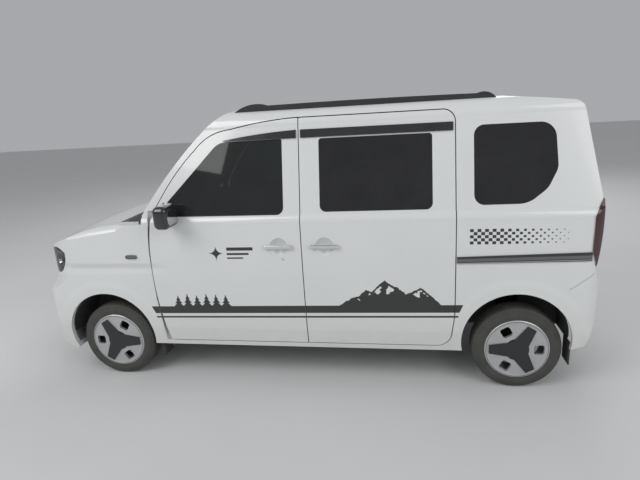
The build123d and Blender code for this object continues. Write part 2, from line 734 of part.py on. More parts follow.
def tailgate_handle():
    bar = block(TAIL - 60, TAIL - 14, -260, 260, 1105, 1150)
    return fillet(bar.edges().filter_by(Axis.Y), 6) - H_OUT


def lid_hinges():
    """Fixed pins and brackets of the tailgate and the bonnet."""
    sets = []
    for y in (-GATE_HINGE_Y, GATE_HINGE_Y):
        pin = rod(HINGE_PIN_R, GATE_AXIS_X, y - 38, y + 38, GATE_AXIS_Z)
        for edge in (y - 38, y + 28):
            pin = pin + block(
                GATE_AXIS_X - HINGE_NOTCH, GATE_AXIS_X + 8, edge, edge + 10,
                GATE_AXIS_Z - 10, GATE_AXIS_Z + 8)
        sets.append(pin)
    cowl = cowl_panel()
    for y in (-BONNET_HINGE_Y, BONNET_HINGE_Y):
        x, z = BONNET_AXIS_X, BONNET_AXIS_Z
        pin = rod(HINGE_PIN_R, x, y - 30, y + 30, z)
        for edge in (y - 30, y + 20):
            pin = pin + block(x - 8, x + 5, edge, edge + 10, z - 14, z + 4)
            pin = pin + block(x - 8, x + 62, edge, edge + 10, z - 14, z - 7)
            pin = pin + block(x + BONNET_SWEEP + 2, x + 62, edge, edge + 10, z - 14, z + 40)
        sets.append(pin & H_GLASS_IN - cowl)
    return Compound(children=[max(p.solids(), key=lambda s: s.volume) for p in sets])


RAIL_FRONT_X = FA + 990.0
RAIL_REAR_X = RA - 140.0
RAIL_Y = W - 250.0


def roof_rails():
    side = loop([
        (RAIL_FRONT_X, ROOF_Z - 30), (RAIL_FRONT_X + 60, ROOF_Z + 4, 1), (RAIL_FRONT_X + 240, ROOF_Z + 10),
        ((RAIL_FRONT_X + RAIL_REAR_X) / 2, ROOF_Z + 13, 1), (RAIL_REAR_X - 120, ROOF_Z + 6),
        (RAIL_REAR_X - 30, ROOF_Z - 2, 1), (RAIL_REAR_X, ROOF_Z - 34)])
    bar = across(side, -RAIL_Y - 16, -RAIL_Y + 16) - H_OUT
    return both(max(bar.solids(), key=lambda s: s.volume))


def sliding_tracks():
    band = across(Polygon(
        (C_LINE + 6, 872), (TAIL - 134, 886), (TAIL - 134, 938), (C_LINE + 6, 914), align=None),
        -W - 30, -W / 2)
    strip = (H_PROUD - H_OUT) & band
    return both(max(strip.solids(), key=lambda s: s.volume))


# Floor, frame and running gear
RAIL_IN_Y = 400.0


def underbody():
    edge = POST_IN
    inner = W - LINER_DEPTH
    floor = block(FA + 345, RA - 360, -edge, edge, FLOOR_Z - FLOOR_T, FLOOR_Z)
    floor = floor + block(RA - 372, RA - 360, -edge, edge, FLOOR_Z - FLOOR_T, FLOOR_Z + 130)
    floor = floor + block(RA - 372, TAIL - 60, -inner + 8, inner - 8, FLOOR_Z + 110, FLOOR_Z + 130)
    floor = floor + block(RA + 345, TAIL - 60, -edge + 20, edge - 20, FLOOR_Z + 110, FLOOR_Z + 130)
    floor = floor + block(FA + 345, FA + 357, -edge, edge, FLOOR_Z - FLOOR_T, COWL_Z - 60)
    for y in (-RAIL_IN_Y, RAIL_IN_Y):
        floor = floor + block(NOSE + 120, FA + 350, y - 25, y + 25, 400, 480)
        floor = floor + block(FA + 330, FA + 358, y - 25, y + 25, FLOOR_Z - FLOOR_T, 480)
    floor = floor + block(NOSE + 90, NOSE + 125, -480, 480, 400, 480)
    return floor & H_PANEL


def wheel_liners():
    parts = []
    for x, z, r, low in (
            (FA + ARCH_FRONT_SHIFT, ARCH_FRONT_Z, ARCH_FRONT_R, H_PANEL),
            (RA + ARCH_REAR_SHIFT, ARCH_REAR_Z, ARCH_REAR_R, H_WALL)):
        y_in = -(W - LINER_DEPTH)
        drum = rod(r + LINER_T, x, -W, y_in + LINER_T, z) - rod(r, x, -W - 5, y_in, z)
        drum = drum - block(x - 500, x + 500, -W - 5, 0, 0, FLOOR_Z + 20 if x < 0 else FLOOR_Z)
        drum = drum - block(x - 70, x + 70, y_in - 20, y_in + 20, 0, 560)
        drum = drum & low
        parts += both(max(drum.solids(), key=lambda s: s.volume)).solids()
    return Compound(children=parts)


def tyre():
    """A tyre about its own axis Y, centred on its width."""
    half = TYRE_W / 2
    top = WHEEL_Z
    profile = loop([
        (RIM_R, -half + 12), (COVER_R + 1, -half + 12), (COVER_R + 1, -half + 5), (RIM_R + 34, -half - 1, 1),
        (top - 24, -half + 8), (top - 6, -half + 16, 1), (top, -half + 32),
        (top, half - 32), (top - 6, half - 16, 1), (top - 24, half - 8), (RIM_R + 34, half + 1, 1),
        (RIM_R, half - 12)])
    return revolve(Plane.XY * profile, axis=Axis.Y)


HOLE_W = 64.0
HOLE_REACH = 135.0


def wheel(turn):
    """Rim, hub and cover about the axis Y; the outer face looks along -Y."""
    half = TYRE_W / 2
    rim = loop([
        (RIM_R, half - 12), (RIM_R, -half + 12), (COVER_R, -half + 12), (COVER_R, -half + 2),
        (COVER_R - 9, -half - 2, 1), (COVER_R - 18, -half), (60, -half - 4), (0, -half - 5),
        (0, -half + 16), (60, -half + 16), (RIM_R - 24, -half + 20), (RIM_R - 12, -half + 30),
        (RIM_R - 12, half - 12)])
    body = revolve(Plane.XY * rim, axis=Axis.Y)
    body = body + rod(HUB_R, 0, -half + 12, 6, 0)
    body = body - rod(SPINDLE_R + RUNNING_FIT, 0, -half + 30, 10, 0)
    for i in range(3):
        a = radians(turn + 120 * i)
        hole = RectangleRounded(HOLE_W, HOLE_W, 16)
        hole = Plane.XZ * (Pos(HOLE_REACH * cos(a), HOLE_REACH * sin(a)) * Rot(0, 0, turn + 120 * i) * hole)
        body = body - extrude(hole, 100, both=True)
    return body


def arm_plate(turn):
    """The raised three-armed plate on the cover, with wide tips and hollow flanks."""
    points = []
    for i in range(3):
        tip = radians(turn + 60 + 120 * i)
        for edge in (-30, 30):
            x = ARM_REACH * cos(tip) - edge * sin(tip)
            z = ARM_REACH * sin(tip) + edge * cos(tip)
            points.append((x, z, 5))
        flank = radians(turn + 120 + 120 * i)
        points.append((ARM_WAIST * cos(flank), ARM_WAIST * sin(flank), 70))
    half = TYRE_W / 2
    return across(rounded(points), -half - 8, -half)


WHEEL_Y = COVER_Y - TYRE_W / 2 - 5
HUB_GAP = 2.0
SPINDLE_END = WHEEL_Y + TYRE_W / 2 - 30 - HUB_GAP


def knuckle():
    """The left steering knuckle with its stub axle."""
    body = rod(SPINDLE_R, FA, -SPINDLE_END, -(KNUCKLE_Y - 30), WHEEL_Z)
    low, high = WHEEL_Z - PIN_LOW, WHEEL_Z + PIN_LOW
    body = body + block(FA - 26, FA + 26, -(KNUCKLE_Y - 6), -(KNUCKLE_Y - 30), low, high)
    for z in (WHEEL_Z - PIN_LOW, WHEEL_Z + PIN_LOW - LUG_H):
        body = body + block(FA - 20, FA + 20, -(KNUCKLE_Y + 18), -(KNUCKLE_Y - 28), z, z + LUG_H)
        body = body - post(KNUCKLE_PIN_R + RUNNING_FIT, FA, -KNUCKLE_Y, z - 2, z + LUG_H + 2)
    return body


PIN_LOW = 112.0
LUG_H = 22.0
ARM_H = 18.0
ARM_GAP = 4.0


def front_suspension():
    """Lower and upper arms with the knuckle's pins, and the spring strut, on the left."""
    low = WHEEL_Z - PIN_LOW - ARM_GAP
    high = WHEEL_Z + PIN_LOW + ARM_GAP
    arm = block(FA - 22, FA + 22, -(KNUCKLE_Y + 16), -(RAIL_IN_Y - 25), low - ARM_H, low)
    arm = arm + block(FA - 160, FA + 160, -(RAIL_IN_Y + 25), -(RAIL_IN_Y - 25), low - ARM_H, low)
    for x in (FA - 140, FA + 140):
        arm = arm + block(x - 14, x + 14, -(RAIL_IN_Y + 20), -(RAIL_IN_Y - 20), low - ARM_H, 400)
    arm = arm + post(KNUCKLE_PIN_R, FA, -KNUCKLE_Y, low - ARM_H, low + ARM_GAP + LUG_H)
    arm = arm + block(FA - 22, FA + 22, -(KNUCKLE_Y + 16), -(RAIL_IN_Y + 25), high, high + ARM_H)
    arm = arm + post(KNUCKLE_PIN_R, FA, -KNUCKLE_Y, high - ARM_GAP - LUG_H, high + ARM_H)
    strut_y = KNUCKLE_Y - 138
    arm = arm + post(20, FA, -strut_y, high + ARM_H, ARCH_FRONT_Z + ARCH_FRONT_R - 3 - GLASS_FIT)
    arm = arm + post(28, FA, -strut_y, high + ARM_H + 60, ARCH_FRONT_Z + ARCH_FRONT_R - 12)
    return arm


def rear_axle():
    beam = rod(38, RA, -(WHEEL_Y - 30), WHEEL_Y - 30, WHEEL_Z)
    beam = beam + rod(SPINDLE_R, RA, -SPINDLE_END, SPINDLE_END, WHEEL_Z)
    for y in (-(WHEEL_Y - 50), WHEEL_Y - 50):
        beam = beam + rod(105, RA, y - 22, y + 22, WHEEL_Z)
    beam = beam + block(RA - 150, RA + 62, -80, 70, WHEEL_Z - 88, WHEEL_Z + 92)
    beam = beam + rod(108, RA - 130, -60, 220, WHEEL_Z + 12)
    return beam


SPRING_Y = 420.0


def leaf_springs():
    sets = []
    seat = WHEEL_Z + 38
    eye = FLOOR_Z + 110 - 20
    for y in (-SPRING_Y, SPRING_Y):
        leaf = loop([
            (RA - 330, eye - 6), (RA, seat, 1), (RA + 330, eye - 6),
            (RA + 330, eye + 6), (RA, seat + 14, 1), (RA - 330, eye + 6)])
        spring = across(leaf, y - 28, y + 28)
        short = loop([
            (RA - 200, 362), (RA, seat + 12, 1), (RA + 200, 362), (RA + 200, 376), (RA, seat + 30, 1),
            (RA - 200, 376)])
        spring = spring + across(short, y - 28, y + 28)
        for x in (RA - 330, RA + 330):
            spring = spring + rod(20, x, y - 28, y + 28, eye)
        sets.append(spring)
    return Compound(children=sets)


def battery_pack():
    pack = block(FA + 440, RA - 440, -520, 520, 205, FLOOR_Z - FLOOR_T)
    return fillet(pack.edges().filter_by(Axis.Z), 40)


def mud_flaps():
    front = block(FA + 337, FA + 345, -(W - 70), -(W - 190), 150, 300)
    arch_x = RA + ARCH_REAR_SHIFT + sqrt(ARCH_REAR_R ** 2 - (ARCH_REAR_Z - FLOOR_Z) ** 2)
    rear = block(arch_x, arch_x + 8, -(W - 70), -(W - 190), 165, FLOOR_Z)
    return Compound(children=[*both(front).solids(), *both(rear).solids()])


# Cabin
DRIVER_Y = 350.0
COLUMN_TILT = 27.0
COLUMN_X = FA + 742.0
COLUMN_Z = 1010.0
WHEEL_RING_R = 180.0


def dashboard():
    side = loop([
        (FA + 357, 660), (FA + 357, 1092), (FA + 190, 1096), (FA + 190, 1130), (FA + 560, 1128),
        (FA + 640, 1112, 1), (FA + 652, 1050), (FA + 600, 840), (FA + 540, 680)])
    panel = across(side, -(POST_IN - 2), POST_IN - 2) & H_WALL
    shelf = block(FA + 640, FA + 760, -110, 110, 700, 860)
    return max((panel + shelf).solids(), key=lambda s: s.volume)


def steering_place():
    return Pos(COLUMN_X, -DRIVER_Y, COLUMN_Z) * Rot(0, 90 - COLUMN_TILT, 0)


def steering_column():
    column = steering_place() * (Pos(0, 0, -110) * Cylinder(30, 140) + Pos(0, 0, -10) * Cylinder(11, 60))
    return column - dashboard()


def steering_wheel():
    ring = Torus(WHEEL_RING_R, 14)
    hub = Pos(0, 0, -2) * Cylinder(42, 36)
    for angle in (0, 110, 250):
        spoke = Rot(0, 0, angle) * (Pos(WHEEL_RING_R / 2 + 12, 0, -2) * Box(WHEEL_RING_R - 38, 34, 14))
        hub = hub + spoke
    return steering_place() * (ring + hub - Cylinder(11 + RUNNING_FIT, 200))


def seat(x, y, half, floor=FLOOR_Z):
    """One seat or bench: cushion, back, head rests and base, on the floor."""
    body = soft_block(x - 470, x, y - half, y + half, 610, 730, 40)
    back = Pos(x + 20, y, 940) * Rot(0, 12, 0) * Box(110, 2 * half, 560)
    body = body + fillet(back.edges(), 40)
    base = block(x - 400, x - 40, y - half + 60, y + half - 60, floor, 640)
    body = body + base
    places = (y,) if half < 300 else (y - half / 2, y + half / 2)
    for place in places:
        rest = Pos(x + 88, place, 1262) * Rot(0, 12, 0) * Box(80, 230, 150)
        body = body + fillet(rest.edges(), 30)
    return body


def front_seats():
    return Compound(children=[seat(FA + 1330, -DRIVER_Y, 235), seat(FA + 1330, DRIVER_Y, 235)])


def front_tray():
    """The cover over the front compartment, with its stiffening ribs."""
    tray = block(NOSE + 130, FA + 120, -RAIL_IN_Y - 180, RAIL_IN_Y + 180, 900, 912)
    for y in (-RAIL_IN_Y, RAIL_IN_Y):
        tray = tray + block(NOSE + 140, FA + 110, y - 8, y + 8, 480, 900)
    for i in range(4):
        tray = tray + block(NOSE + 160 + 120 * i, NOSE + 172 + 120 * i, -380, 380, 912, 922)
    return tray & H_PANEL


def wipers():
    blades = []
    for y0, y1 in ((-600, -120), (20, 480)):
        face = loop([(y0, COWL_Z + 6), (y0, COWL_Z + 18), (y1, COWL_Z + 74), (y1, COWL_Z + 62)])
        blades.append((H_PROUD - H_GLASS_OUT) & along(face, FA + 50, FA + 500))
    return Compound(children=[max(b.solids(), key=lambda s: s.volume) for b in blades])


def visor(outline):
    """A dark rain deflector over a side window."""
    return max(((H_PROUD - H_OUT) & across(outline, -W - 50, -W / 2)).solids(), key=lambda s: s.volume)


FRONT_VISOR = [
    (FA + 930, 1668),
    (FA + 1150, 1696, 1),
    (B_LINE - 14, 1714),
    (B_LINE - 14, 1664),
    (FA + 960, 1662),
]
SLIDING_VISOR = [
    (B_LINE + 14, 1664),
    (B_LINE + 14, 1714),
    (C_LINE - 14, 1714),
    (C_LINE - 14, 1664),
]


def place_left(shape, x):
    return Pos(x, -WHEEL_Y, WHEEL_Z) * shape


def write(name, shape):
    export_step(shape, "parts/" + name + ".step")


PULL_HALF = 92.0

ONE_EACH_SIDE = {
    "body_side": BODY_SIDE,
    "front_door": front_door(),
    "front_door_glass": front_glass(),
    "door_mirror": door_mirror(),
    "front_door_handle": pull_handle(FRONT_HANDLE_X, PULL_HALF),
    "front_door_visor": visor(loop(FRONT_VISOR)),
    "steering_knuckle": knuckle(),
}
BOTH_SIDES_TOGETHER = {
    "front_fenders": fender(),
    "quarter_glasses": quarter_glass(),
    "sliding_doors": sliding_door(),
    "sliding_door_glasses": sliding_glass(),
    "sliding_door_handles": pull_handle(SLIDING_HANDLE_X, PULL_HALF),
    "sliding_door_visors": visor(loop(SLIDING_VISOR)),
    "front_suspension": front_suspension(),
    "door_hinge_pins": door_hinges(),
}
WHOLE = {
    "roof_panel": roof_panel(),
    "windscreen": windscreen(),
    "cowl_panel": cowl_panel(),
    "wipers": wipers(),
    "bonnet": bonnet(),
    "front_bumper": front_bumper(),
    "lower_grille": lower_grille(),
    "rear_bumper": rear_bumper(),
    "front_lamps": front_lamps(),
    "tail_lamps": tail_lamps(),
    "tailgate": tailgate(),
    "tailgate_glass": tailgate_glass(),
    "tailgate_handle": tailgate_handle(),
    "lid_hinge_pins": lid_hinges(),
    "roof_rails": roof_rails(),
    "sliding_door_tracks": sliding_tracks(),
    "underbody": underbody(),
    "wheel_liners": wheel_liners(),
    "rear_axle": rear_axle(),
    "leaf_springs": leaf_springs(),
    "battery_pack": battery_pack(),
    "mud_flaps": mud_flaps(),
    "dashboard": dashboard(),
    "steering_column": steering_column(),
    "steering_wheel": steering_wheel(),
    "front_seats": front_seats(),
    "second_row_seat": seat(FA + 2240, 0, 600),
    "third_row_seat": seat(RA + 130, 0, 440, FLOOR_Z + 130),
    "front_tray": front_tray(),
}

os.makedirs("parts", exist_ok=True)
for name, part in ONE_EACH_SIDE.items():
    write(name + "_left", part)
    write(name + "_right", other_side(part))
for name, part in BOTH_SIDES_TOGETHER.items():
    write(name, both(part))
for name, part in WHOLE.items():
    write(name, part)
for end, x, turn in (("front", FA, 60), ("rear", RA, 0)):
    cover = place_left(wheel(turn) + arm_plate(turn), x)
    write("wheel_" + end + "_left", cover)
    write("wheel_" + end + "_right", other_side(cover))
    rubber = place_left(tyre(), x)
    write("tyre_" + end + "_left", rubber)
    write("tyre_" + end + "_right", other_side(rubber))
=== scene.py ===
import json
import math

import bpy
from mathutils import Matrix, Vector


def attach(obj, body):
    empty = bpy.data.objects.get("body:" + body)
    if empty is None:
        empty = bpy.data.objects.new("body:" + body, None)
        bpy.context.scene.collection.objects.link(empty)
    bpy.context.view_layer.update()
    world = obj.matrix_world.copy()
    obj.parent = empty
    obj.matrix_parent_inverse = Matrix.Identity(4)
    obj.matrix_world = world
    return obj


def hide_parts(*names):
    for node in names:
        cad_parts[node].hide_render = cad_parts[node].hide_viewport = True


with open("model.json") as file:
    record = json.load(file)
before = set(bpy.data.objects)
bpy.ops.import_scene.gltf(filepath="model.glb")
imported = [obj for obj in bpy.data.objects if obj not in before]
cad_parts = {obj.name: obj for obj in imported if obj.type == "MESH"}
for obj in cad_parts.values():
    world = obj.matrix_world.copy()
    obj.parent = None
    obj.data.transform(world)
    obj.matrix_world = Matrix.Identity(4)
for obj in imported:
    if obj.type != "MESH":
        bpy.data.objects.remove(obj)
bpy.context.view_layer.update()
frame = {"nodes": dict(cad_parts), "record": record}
nodes = frame["nodes"]
LEFT, RIGHT = -1, 1
SIDES = (("left", LEFT), ("right", RIGHT))

# Main places on the vehicle, in metres
FRONT_AXLE_X = -1.352
REAR_AXLE_X = 1.428
WHEEL_Z = 0.278
WHEEL_Y = 0.6905
TYRE_HALF_W = 0.0775
TYRE_R = 0.278
RIM_R = 0.189
FLOOR_Z = 0.385
DRIVER_Y = 0.350
MERGE_GAP = 0.0001


# Picking, placing and naming
def pick(*objs):
    """Selects only these objects, the last one active."""
    bpy.ops.object.select_all(action="DESELECT")
    for obj in objs:
        obj.select_set(True)
    bpy.context.view_layer.objects.active = objs[-1]


def mode(name):
    bpy.ops.object.mode_set(mode=name)


def settle(obj, name, body, slot, skin=None):
    """Names a finished piece, bakes its place into its mesh and lets it ride, in its slot's finish or another."""
    pick(obj)
    bpy.ops.object.transform_apply(location=True, rotation=True, scale=True)
    obj.name = name
    obj.data.name = name
    obj.data.materials.clear()
    obj.data.materials.append(skin or FINISHES[slot])
    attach(obj, body)
    return obj


def smooth(obj, angle=35):
    pick(obj)
    bpy.ops.object.shade_smooth_by_angle(angle=math.radians(angle))
    return obj


def finish_with(obj, kind, **settings):
    """Adds one modifier, sets it up and applies it."""
    pick(obj)
    mod = obj.modifiers.new(kind.title(), kind)
    for key, value in settings.items():
        setattr(mod, key, value)
    bpy.ops.object.modifier_apply(modifier=mod.name)
    return obj


def rounded_edges(obj, width, segments=3, angle=35):
    return finish_with(
        obj, "BEVEL", width=width, segments=segments, limit_method="ANGLE", angle_limit=math.radians(angle))


def box(x0, x1, y0, y1, z0, z1, bevel=0.0, segments=3):
    """A block between two corners with rounded edges."""
    bpy.ops.object.select_all(action="DESELECT")
    bpy.ops.mesh.primitive_cube_add(
        size=1, location=((x0 + x1) / 2, (y0 + y1) / 2, (z0 + z1) / 2),
        scale=(abs(x1 - x0), abs(y1 - y0), abs(z1 - z0)))
    obj = bpy.context.object
    bpy.ops.object.transform_apply(location=True, rotation=True, scale=True)
    if bevel:
        rounded_edges(obj, bevel, segments)
    return obj


def drawn(points):
    """A flat face drawn by pulling one corner round its outline."""
    points = [Vector(p) for p in points]
    bpy.ops.object.select_all(action="DESELECT")
    bpy.ops.mesh.primitive_plane_add(size=0.01, location=points[0])
    obj = bpy.context.object
    mode("EDIT")
    bpy.ops.mesh.merge(type="CENTER")
    for start, end in zip(points, points[1:]):
        bpy.ops.mesh.extrude_vertices_move(TRANSFORM_OT_translate={"value": end - start})
    bpy.ops.mesh.select_all(action="SELECT")
    bpy.ops.mesh.edge_face_add()
    mode("OBJECT")
    bpy.ops.object.transform_apply(location=True, rotation=True, scale=True)
    return obj


def prism(points, push, bevel=0.0, segments=2):
    """A drawn face pushed out to a solid."""
    obj = drawn(points)
    mode("EDIT")
    bpy.ops.mesh.select_all(action="SELECT")
    bpy.ops.mesh.extrude_region_move(TRANSFORM_OT_translate={"value": Vector(push)})
    bpy.ops.mesh.select_all(action="SELECT")
    bpy.ops.mesh.normals_make_consistent(inside=False)
    mode("OBJECT")
    if bevel:
        rounded_edges(obj, bevel, segments)
    return obj


def turned(profile, centre, axis, steps=64):
    """A closed profile spun round an axis through centre. profile is in radius and height."""
    axis = Vector(axis)
    side = axis.orthogonal().normalized()
    obj = drawn([Vector(centre) + side * r + axis * h for r, h in profile])
    mode("EDIT")
    bpy.ops.mesh.select_all(action="SELECT")
    bpy.ops.mesh.delete(type="ONLY_FACE")
    bpy.ops.mesh.select_all(action="SELECT")
    bpy.ops.mesh.spin(steps=steps, angle=math.tau, center=centre, axis=axis)
    bpy.ops.mesh.select_all(action="SELECT")
    bpy.ops.mesh.remove_doubles(threshold=0.00002)
    bpy.ops.mesh.normals_make_consistent(inside=False)
    mode("OBJECT")
    return obj


def joined(*objs):
    pick(*objs)
    bpy.ops.object.join()
    return bpy.context.object


def merged_copy(node_name):
    """A loose copy of a CAD piece with its triangles joined up, nothing selected in it."""
    pick(nodes[node_name])
    bpy.ops.object.duplicate()
    copy = bpy.context.object
    copy.parent = None
    mode("EDIT")
    bpy.ops.mesh.select_all(action="SELECT")
    bpy.ops.mesh.remove_doubles(threshold=MERGE_GAP)
    bpy.ops.mesh.select_all(action="DESELECT")
    mode("OBJECT")
    return copy


def cut_up(obj, step, axes=(0, 2)):
    """Bisects a flat piece every step along each axis, so that it can follow a curved panel."""
    low = [min(v.co[i] for v in obj.data.vertices) for i in range(3)]
    high = [max(v.co[i] for v in obj.data.vertices) for i in range(3)]
    pick(obj)
    mode("EDIT")
    for axis in axes:
        normal = [0, 0, 0]
        normal[axis] = 1
        place = low[axis] + step
        while place < high[axis] - step / 4:
            point = [0, 0, 0]
            point[axis] = place
            bpy.ops.mesh.select_all(action="SELECT")
            bpy.ops.mesh.bisect(plane_co=point, plane_no=normal)
            place += step
    mode("OBJECT")
    return obj


def lay_on(obj, target, lift, axis="y"):
    """Pushes a flat piece onto a panel along one axis and lifts it off by a hair."""
    pick(obj)
    mod = obj.modifiers.new("Lay", "SHRINKWRAP")
    mod.target = target
    mod.wrap_method = "PROJECT"
    mod.wrap_mode = "ABOVE_SURFACE"
    mod.use_project_x = axis == "x"
    mod.use_project_y = axis == "y"
    mod.use_project_z = axis == "z"
    mod.use_negative_direction = True
    mod.use_positive_direction = True
    mod.offset = lift
    bpy.ops.object.modifier_apply(modifier=mod.name)
    return obj


def thickened(obj, thickness, offset=1.0):
    return finish_with(obj, "SOLIDIFY", thickness=thickness, offset=offset)


# Materials: small builders for node trees
def node(tree, kind, inputs=None, **settings):
    made = tree.nodes.new("ShaderNode" + kind)
    for key, value in settings.items():
        setattr(made, key, value)
    for key, value in (inputs or {}).items():
        socket = made.inputs[key]
        if isinstance(value, bpy.types.NodeSocket):
            tree.links.new(value, socket)
        else:
            socket.default_value = value
    return made


def calc(tree, operation, a, b=0.0, clamp=False):
    return node(tree, "Math", {0: a, 1: b}, operation=operation, use_clamp=clamp).outputs[0]


def scaled(tree, value, factor, shift):
    return calc(tree, "ADD", calc(tree, "MULTIPLY", value, factor), shift)


def times(tree, *values):
    """Several masks multiplied together."""
    result = values[0]
    for value in values[1:]:
        result = calc(tree, "MULTIPLY", result, value)
    return result


def either(tree, *values):
    result = values[0]
    for value in values[1:]:
        result = calc(tree, "MAXIMUM", result, value)
    return result


def between(tree, value, low, high):
    return times(tree, calc(tree, "GREATER_THAN", value, low), calc(tree, "LESS_THAN", value, high))


def mixed(tree, factor, a, b):
    """Colour a where factor is 0, colour b where it is 1."""
    made = node(tree, "Mix", data_type="RGBA")
    for socket, value in ((0, factor), (6, a), (7, b)):
        if isinstance(value, bpy.types.NodeSocket):
            tree.links.new(value, made.inputs[socket])
        else:
            made.inputs[socket].default_value = value if socket == 0 else (*value, 1)
    return made.outputs[2]


def spread(tree, factor, low, high):
    """Maps 0 to 1 onto low to high."""
    return node(tree, "MapRange", {0: factor, 3: low, 4: high}).outputs[0]


def places(tree, stretch=(1, 1, 1)):
    coords = node(tree, "TexCoord").outputs["Object"]
    return node(tree, "Mapping", {"Vector": coords, "Scale": stretch}).outputs[0]


def cloud(tree, scale, detail=3.0, roughness=0.55, stretch=(1, 1, 1)):
    return node(tree, "TexNoise", {
        "Vector": places(tree, stretch), "Scale": scale, "Detail": detail, "Roughness": roughness}).outputs["Fac"]


def set_in(tree, shader, name, value):
    if isinstance(value, bpy.types.NodeSocket):
        tree.links.new(value, shader.inputs[name])
    else:
        shader.inputs[name].default_value = value


def bumped(tree, shader, height, strength, distance):
    bump = node(tree, "Bump", {"Height": height, "Strength": strength, "Distance": distance})
    tree.links.new(bump.outputs[0], shader.inputs["Normal"])


def finish(name, rough, metal=0.0, **sockets):
    made = bpy.data.materials.new(name)
    made.use_nodes = True
    tree = made.node_tree
    shader = tree.nodes["Principled BSDF"]
    shader.inputs["Roughness"].default_value = rough
    shader.inputs["Metallic"].default_value = metal
    for key, value in sockets.items():
        shader.inputs[key.replace("_", " ")].default_value = value
    return made, tree, shader


def two_tone(name, dark, light, scale, rough, metal=0.0, rough_spread=0.08, grain=0.0, grain_scale=900.0, **sockets):
    """A moulded, cast or painted finish: a slow drift of colour, uneven gloss and a fine grain."""
    made, tree, shader = finish(name, rough, metal, **sockets)
    drift = cloud(tree, scale)
    set_in(tree, shader, "Base Color", mixed(tree, drift, dark, light))
    gloss = cloud(tree, scale * 4)
    set_in(tree, shader, "Roughness", spread(tree, gloss, rough - rough_spread, rough + rough_spread))
    if grain:
        bumped(tree, shader, cloud(tree, grain_scale, 2.0), grain, 0.0004)
    return made


def parts_of(tree, kind="Object"):
    """X, Y and Z of the point on the piece, or of its normal."""
    return node(tree, "SeparateXYZ", {0: node(tree, "TexCoord").outputs[kind]}).outputs


def outward(tree):
    """Two masks: faces that look out sideways, and faces that look in."""
    outwards = calc(tree, "MULTIPLY", parts_of(tree)[1], parts_of(tree, "Normal")[1])
    return calc(tree, "GREATER_THAN", outwards, 0.30), calc(tree, "LESS_THAN", outwards, -0.30)


STRIPE_SLOPE = 0.0155
STRIPE_LOW, STRIPE_HIGH = 0.527, 0.580
LINE_LOW, LINE_HIGH = 0.492, 0.505
STRIPE_FRONT, STRIPE_REAR = -1.024, 1.088
RANGE_START, RANGE_LENGTH, RANGE_HEIGHT = 0.305, 0.650, 0.175
RIDGE = (
    (0.0, 0.0), (0.12, 0.30), (0.20, 0.38), (0.27, 0.62), (0.33, 0.55), (0.40, 0.82), (0.46, 1.0), (0.52, 0.80),
    (0.58, 0.72), (0.66, 0.46), (0.72, 0.52), (0.80, 0.70), (0.86, 0.52), (0.93, 0.28), (1.0, 0.0))
SNOW_LINE = (
    (0.0, 0.6), (0.14, 0.32), (0.22, 0.20), (0.28, 0.34), (0.33, 0.48), (0.38, 0.42), (0.44, 0.60), (0.48, 0.45),
    (0.55, 0.62), (0.62, 0.60), (0.72, 0.44), (0.78, 0.32), (0.85, 0.40), (0.92, 0.30), (1.0, 0.6))
TREES_START, TREE_PITCH, TREE_HEIGHT, TREES_END = -0.850, 0.069, 0.100, -0.436
CHECKER_X, CHECKER_Z, CHECK_W, CHECK_H = 1.117, 0.992, 0.0216, 0.0190
STAR_X, STAR_Z, STAR_R = -0.500, 0.950, 0.058


def curve_of(tree, value, points):
    made = node(tree, "FloatCurve", {"Value": value})
    line = made.mapping.curves[0]
    while len(line.points) < len(points):
        line.points.new(0.5, 0.5)
    for point, (x, y) in zip(line.points, points):
        point.location = (x, y)
        point.handle_type = "VECTOR"
    made.mapping.update()
    return made.outputs[0]


def side_stripes(tree, x, z):
    level = calc(tree, "SUBTRACT", z, calc(tree, "MULTIPLY", x, STRIPE_SLOPE))
    depth = calc(tree, "SUBTRACT", STRIPE_HIGH, level)
    front = calc(tree, "GREATER_THAN", x, scaled(tree, depth, 0.45, STRIPE_FRONT))
    rear = calc(tree, "LESS_THAN", calc(tree, "ADD", x, calc(tree, "MULTIPLY", depth, 0.42)), STRIPE_REAR)
    broad = times(tree, between(tree, level, STRIPE_LOW, STRIPE_HIGH), front, rear)
    fine = times(tree, between(tree, level, LINE_LOW, LINE_HIGH), between(tree, x, -0.998, 1.060))
    return level, either(tree, broad, fine)


def mountains(tree, x, level):
    along = calc(tree, "DIVIDE", calc(tree, "SUBTRACT", x, RANGE_START), RANGE_LENGTH)
    height = calc(tree, "DIVIDE", calc(tree, "SUBTRACT", level, STRIPE_HIGH - 0.002), RANGE_HEIGHT)
    inside = times(tree, between(tree, along, 0.0, 1.0), calc(tree, "GREATER_THAN", height, 0.0))
    ragged = calc(tree, "MULTIPLY", calc(tree, "SUBTRACT", cloud(tree, 60.0, 2.0), 0.5), 0.12)
    ridge = calc(tree, "ADD", curve_of(tree, along, RIDGE), ragged)
    rock = times(tree, inside, calc(tree, "LESS_THAN", height, ridge))
    below_crest = calc(tree, "LESS_THAN", height, calc(tree, "SUBTRACT", ridge, 0.10))
    above_snow = calc(tree, "GREATER_THAN", height, calc(tree, "ADD", curve_of(tree, along, SNOW_LINE), ragged))
    patches = calc(tree, "GREATER_THAN", cloud(tree, 26.0, 2.0, 0.5, (1.0, 1.0, 0.45)), 0.50)
    snow = times(tree, below_crest, above_snow, patches)
    return calc(tree, "SUBTRACT", rock, times(tree, rock, snow), True)


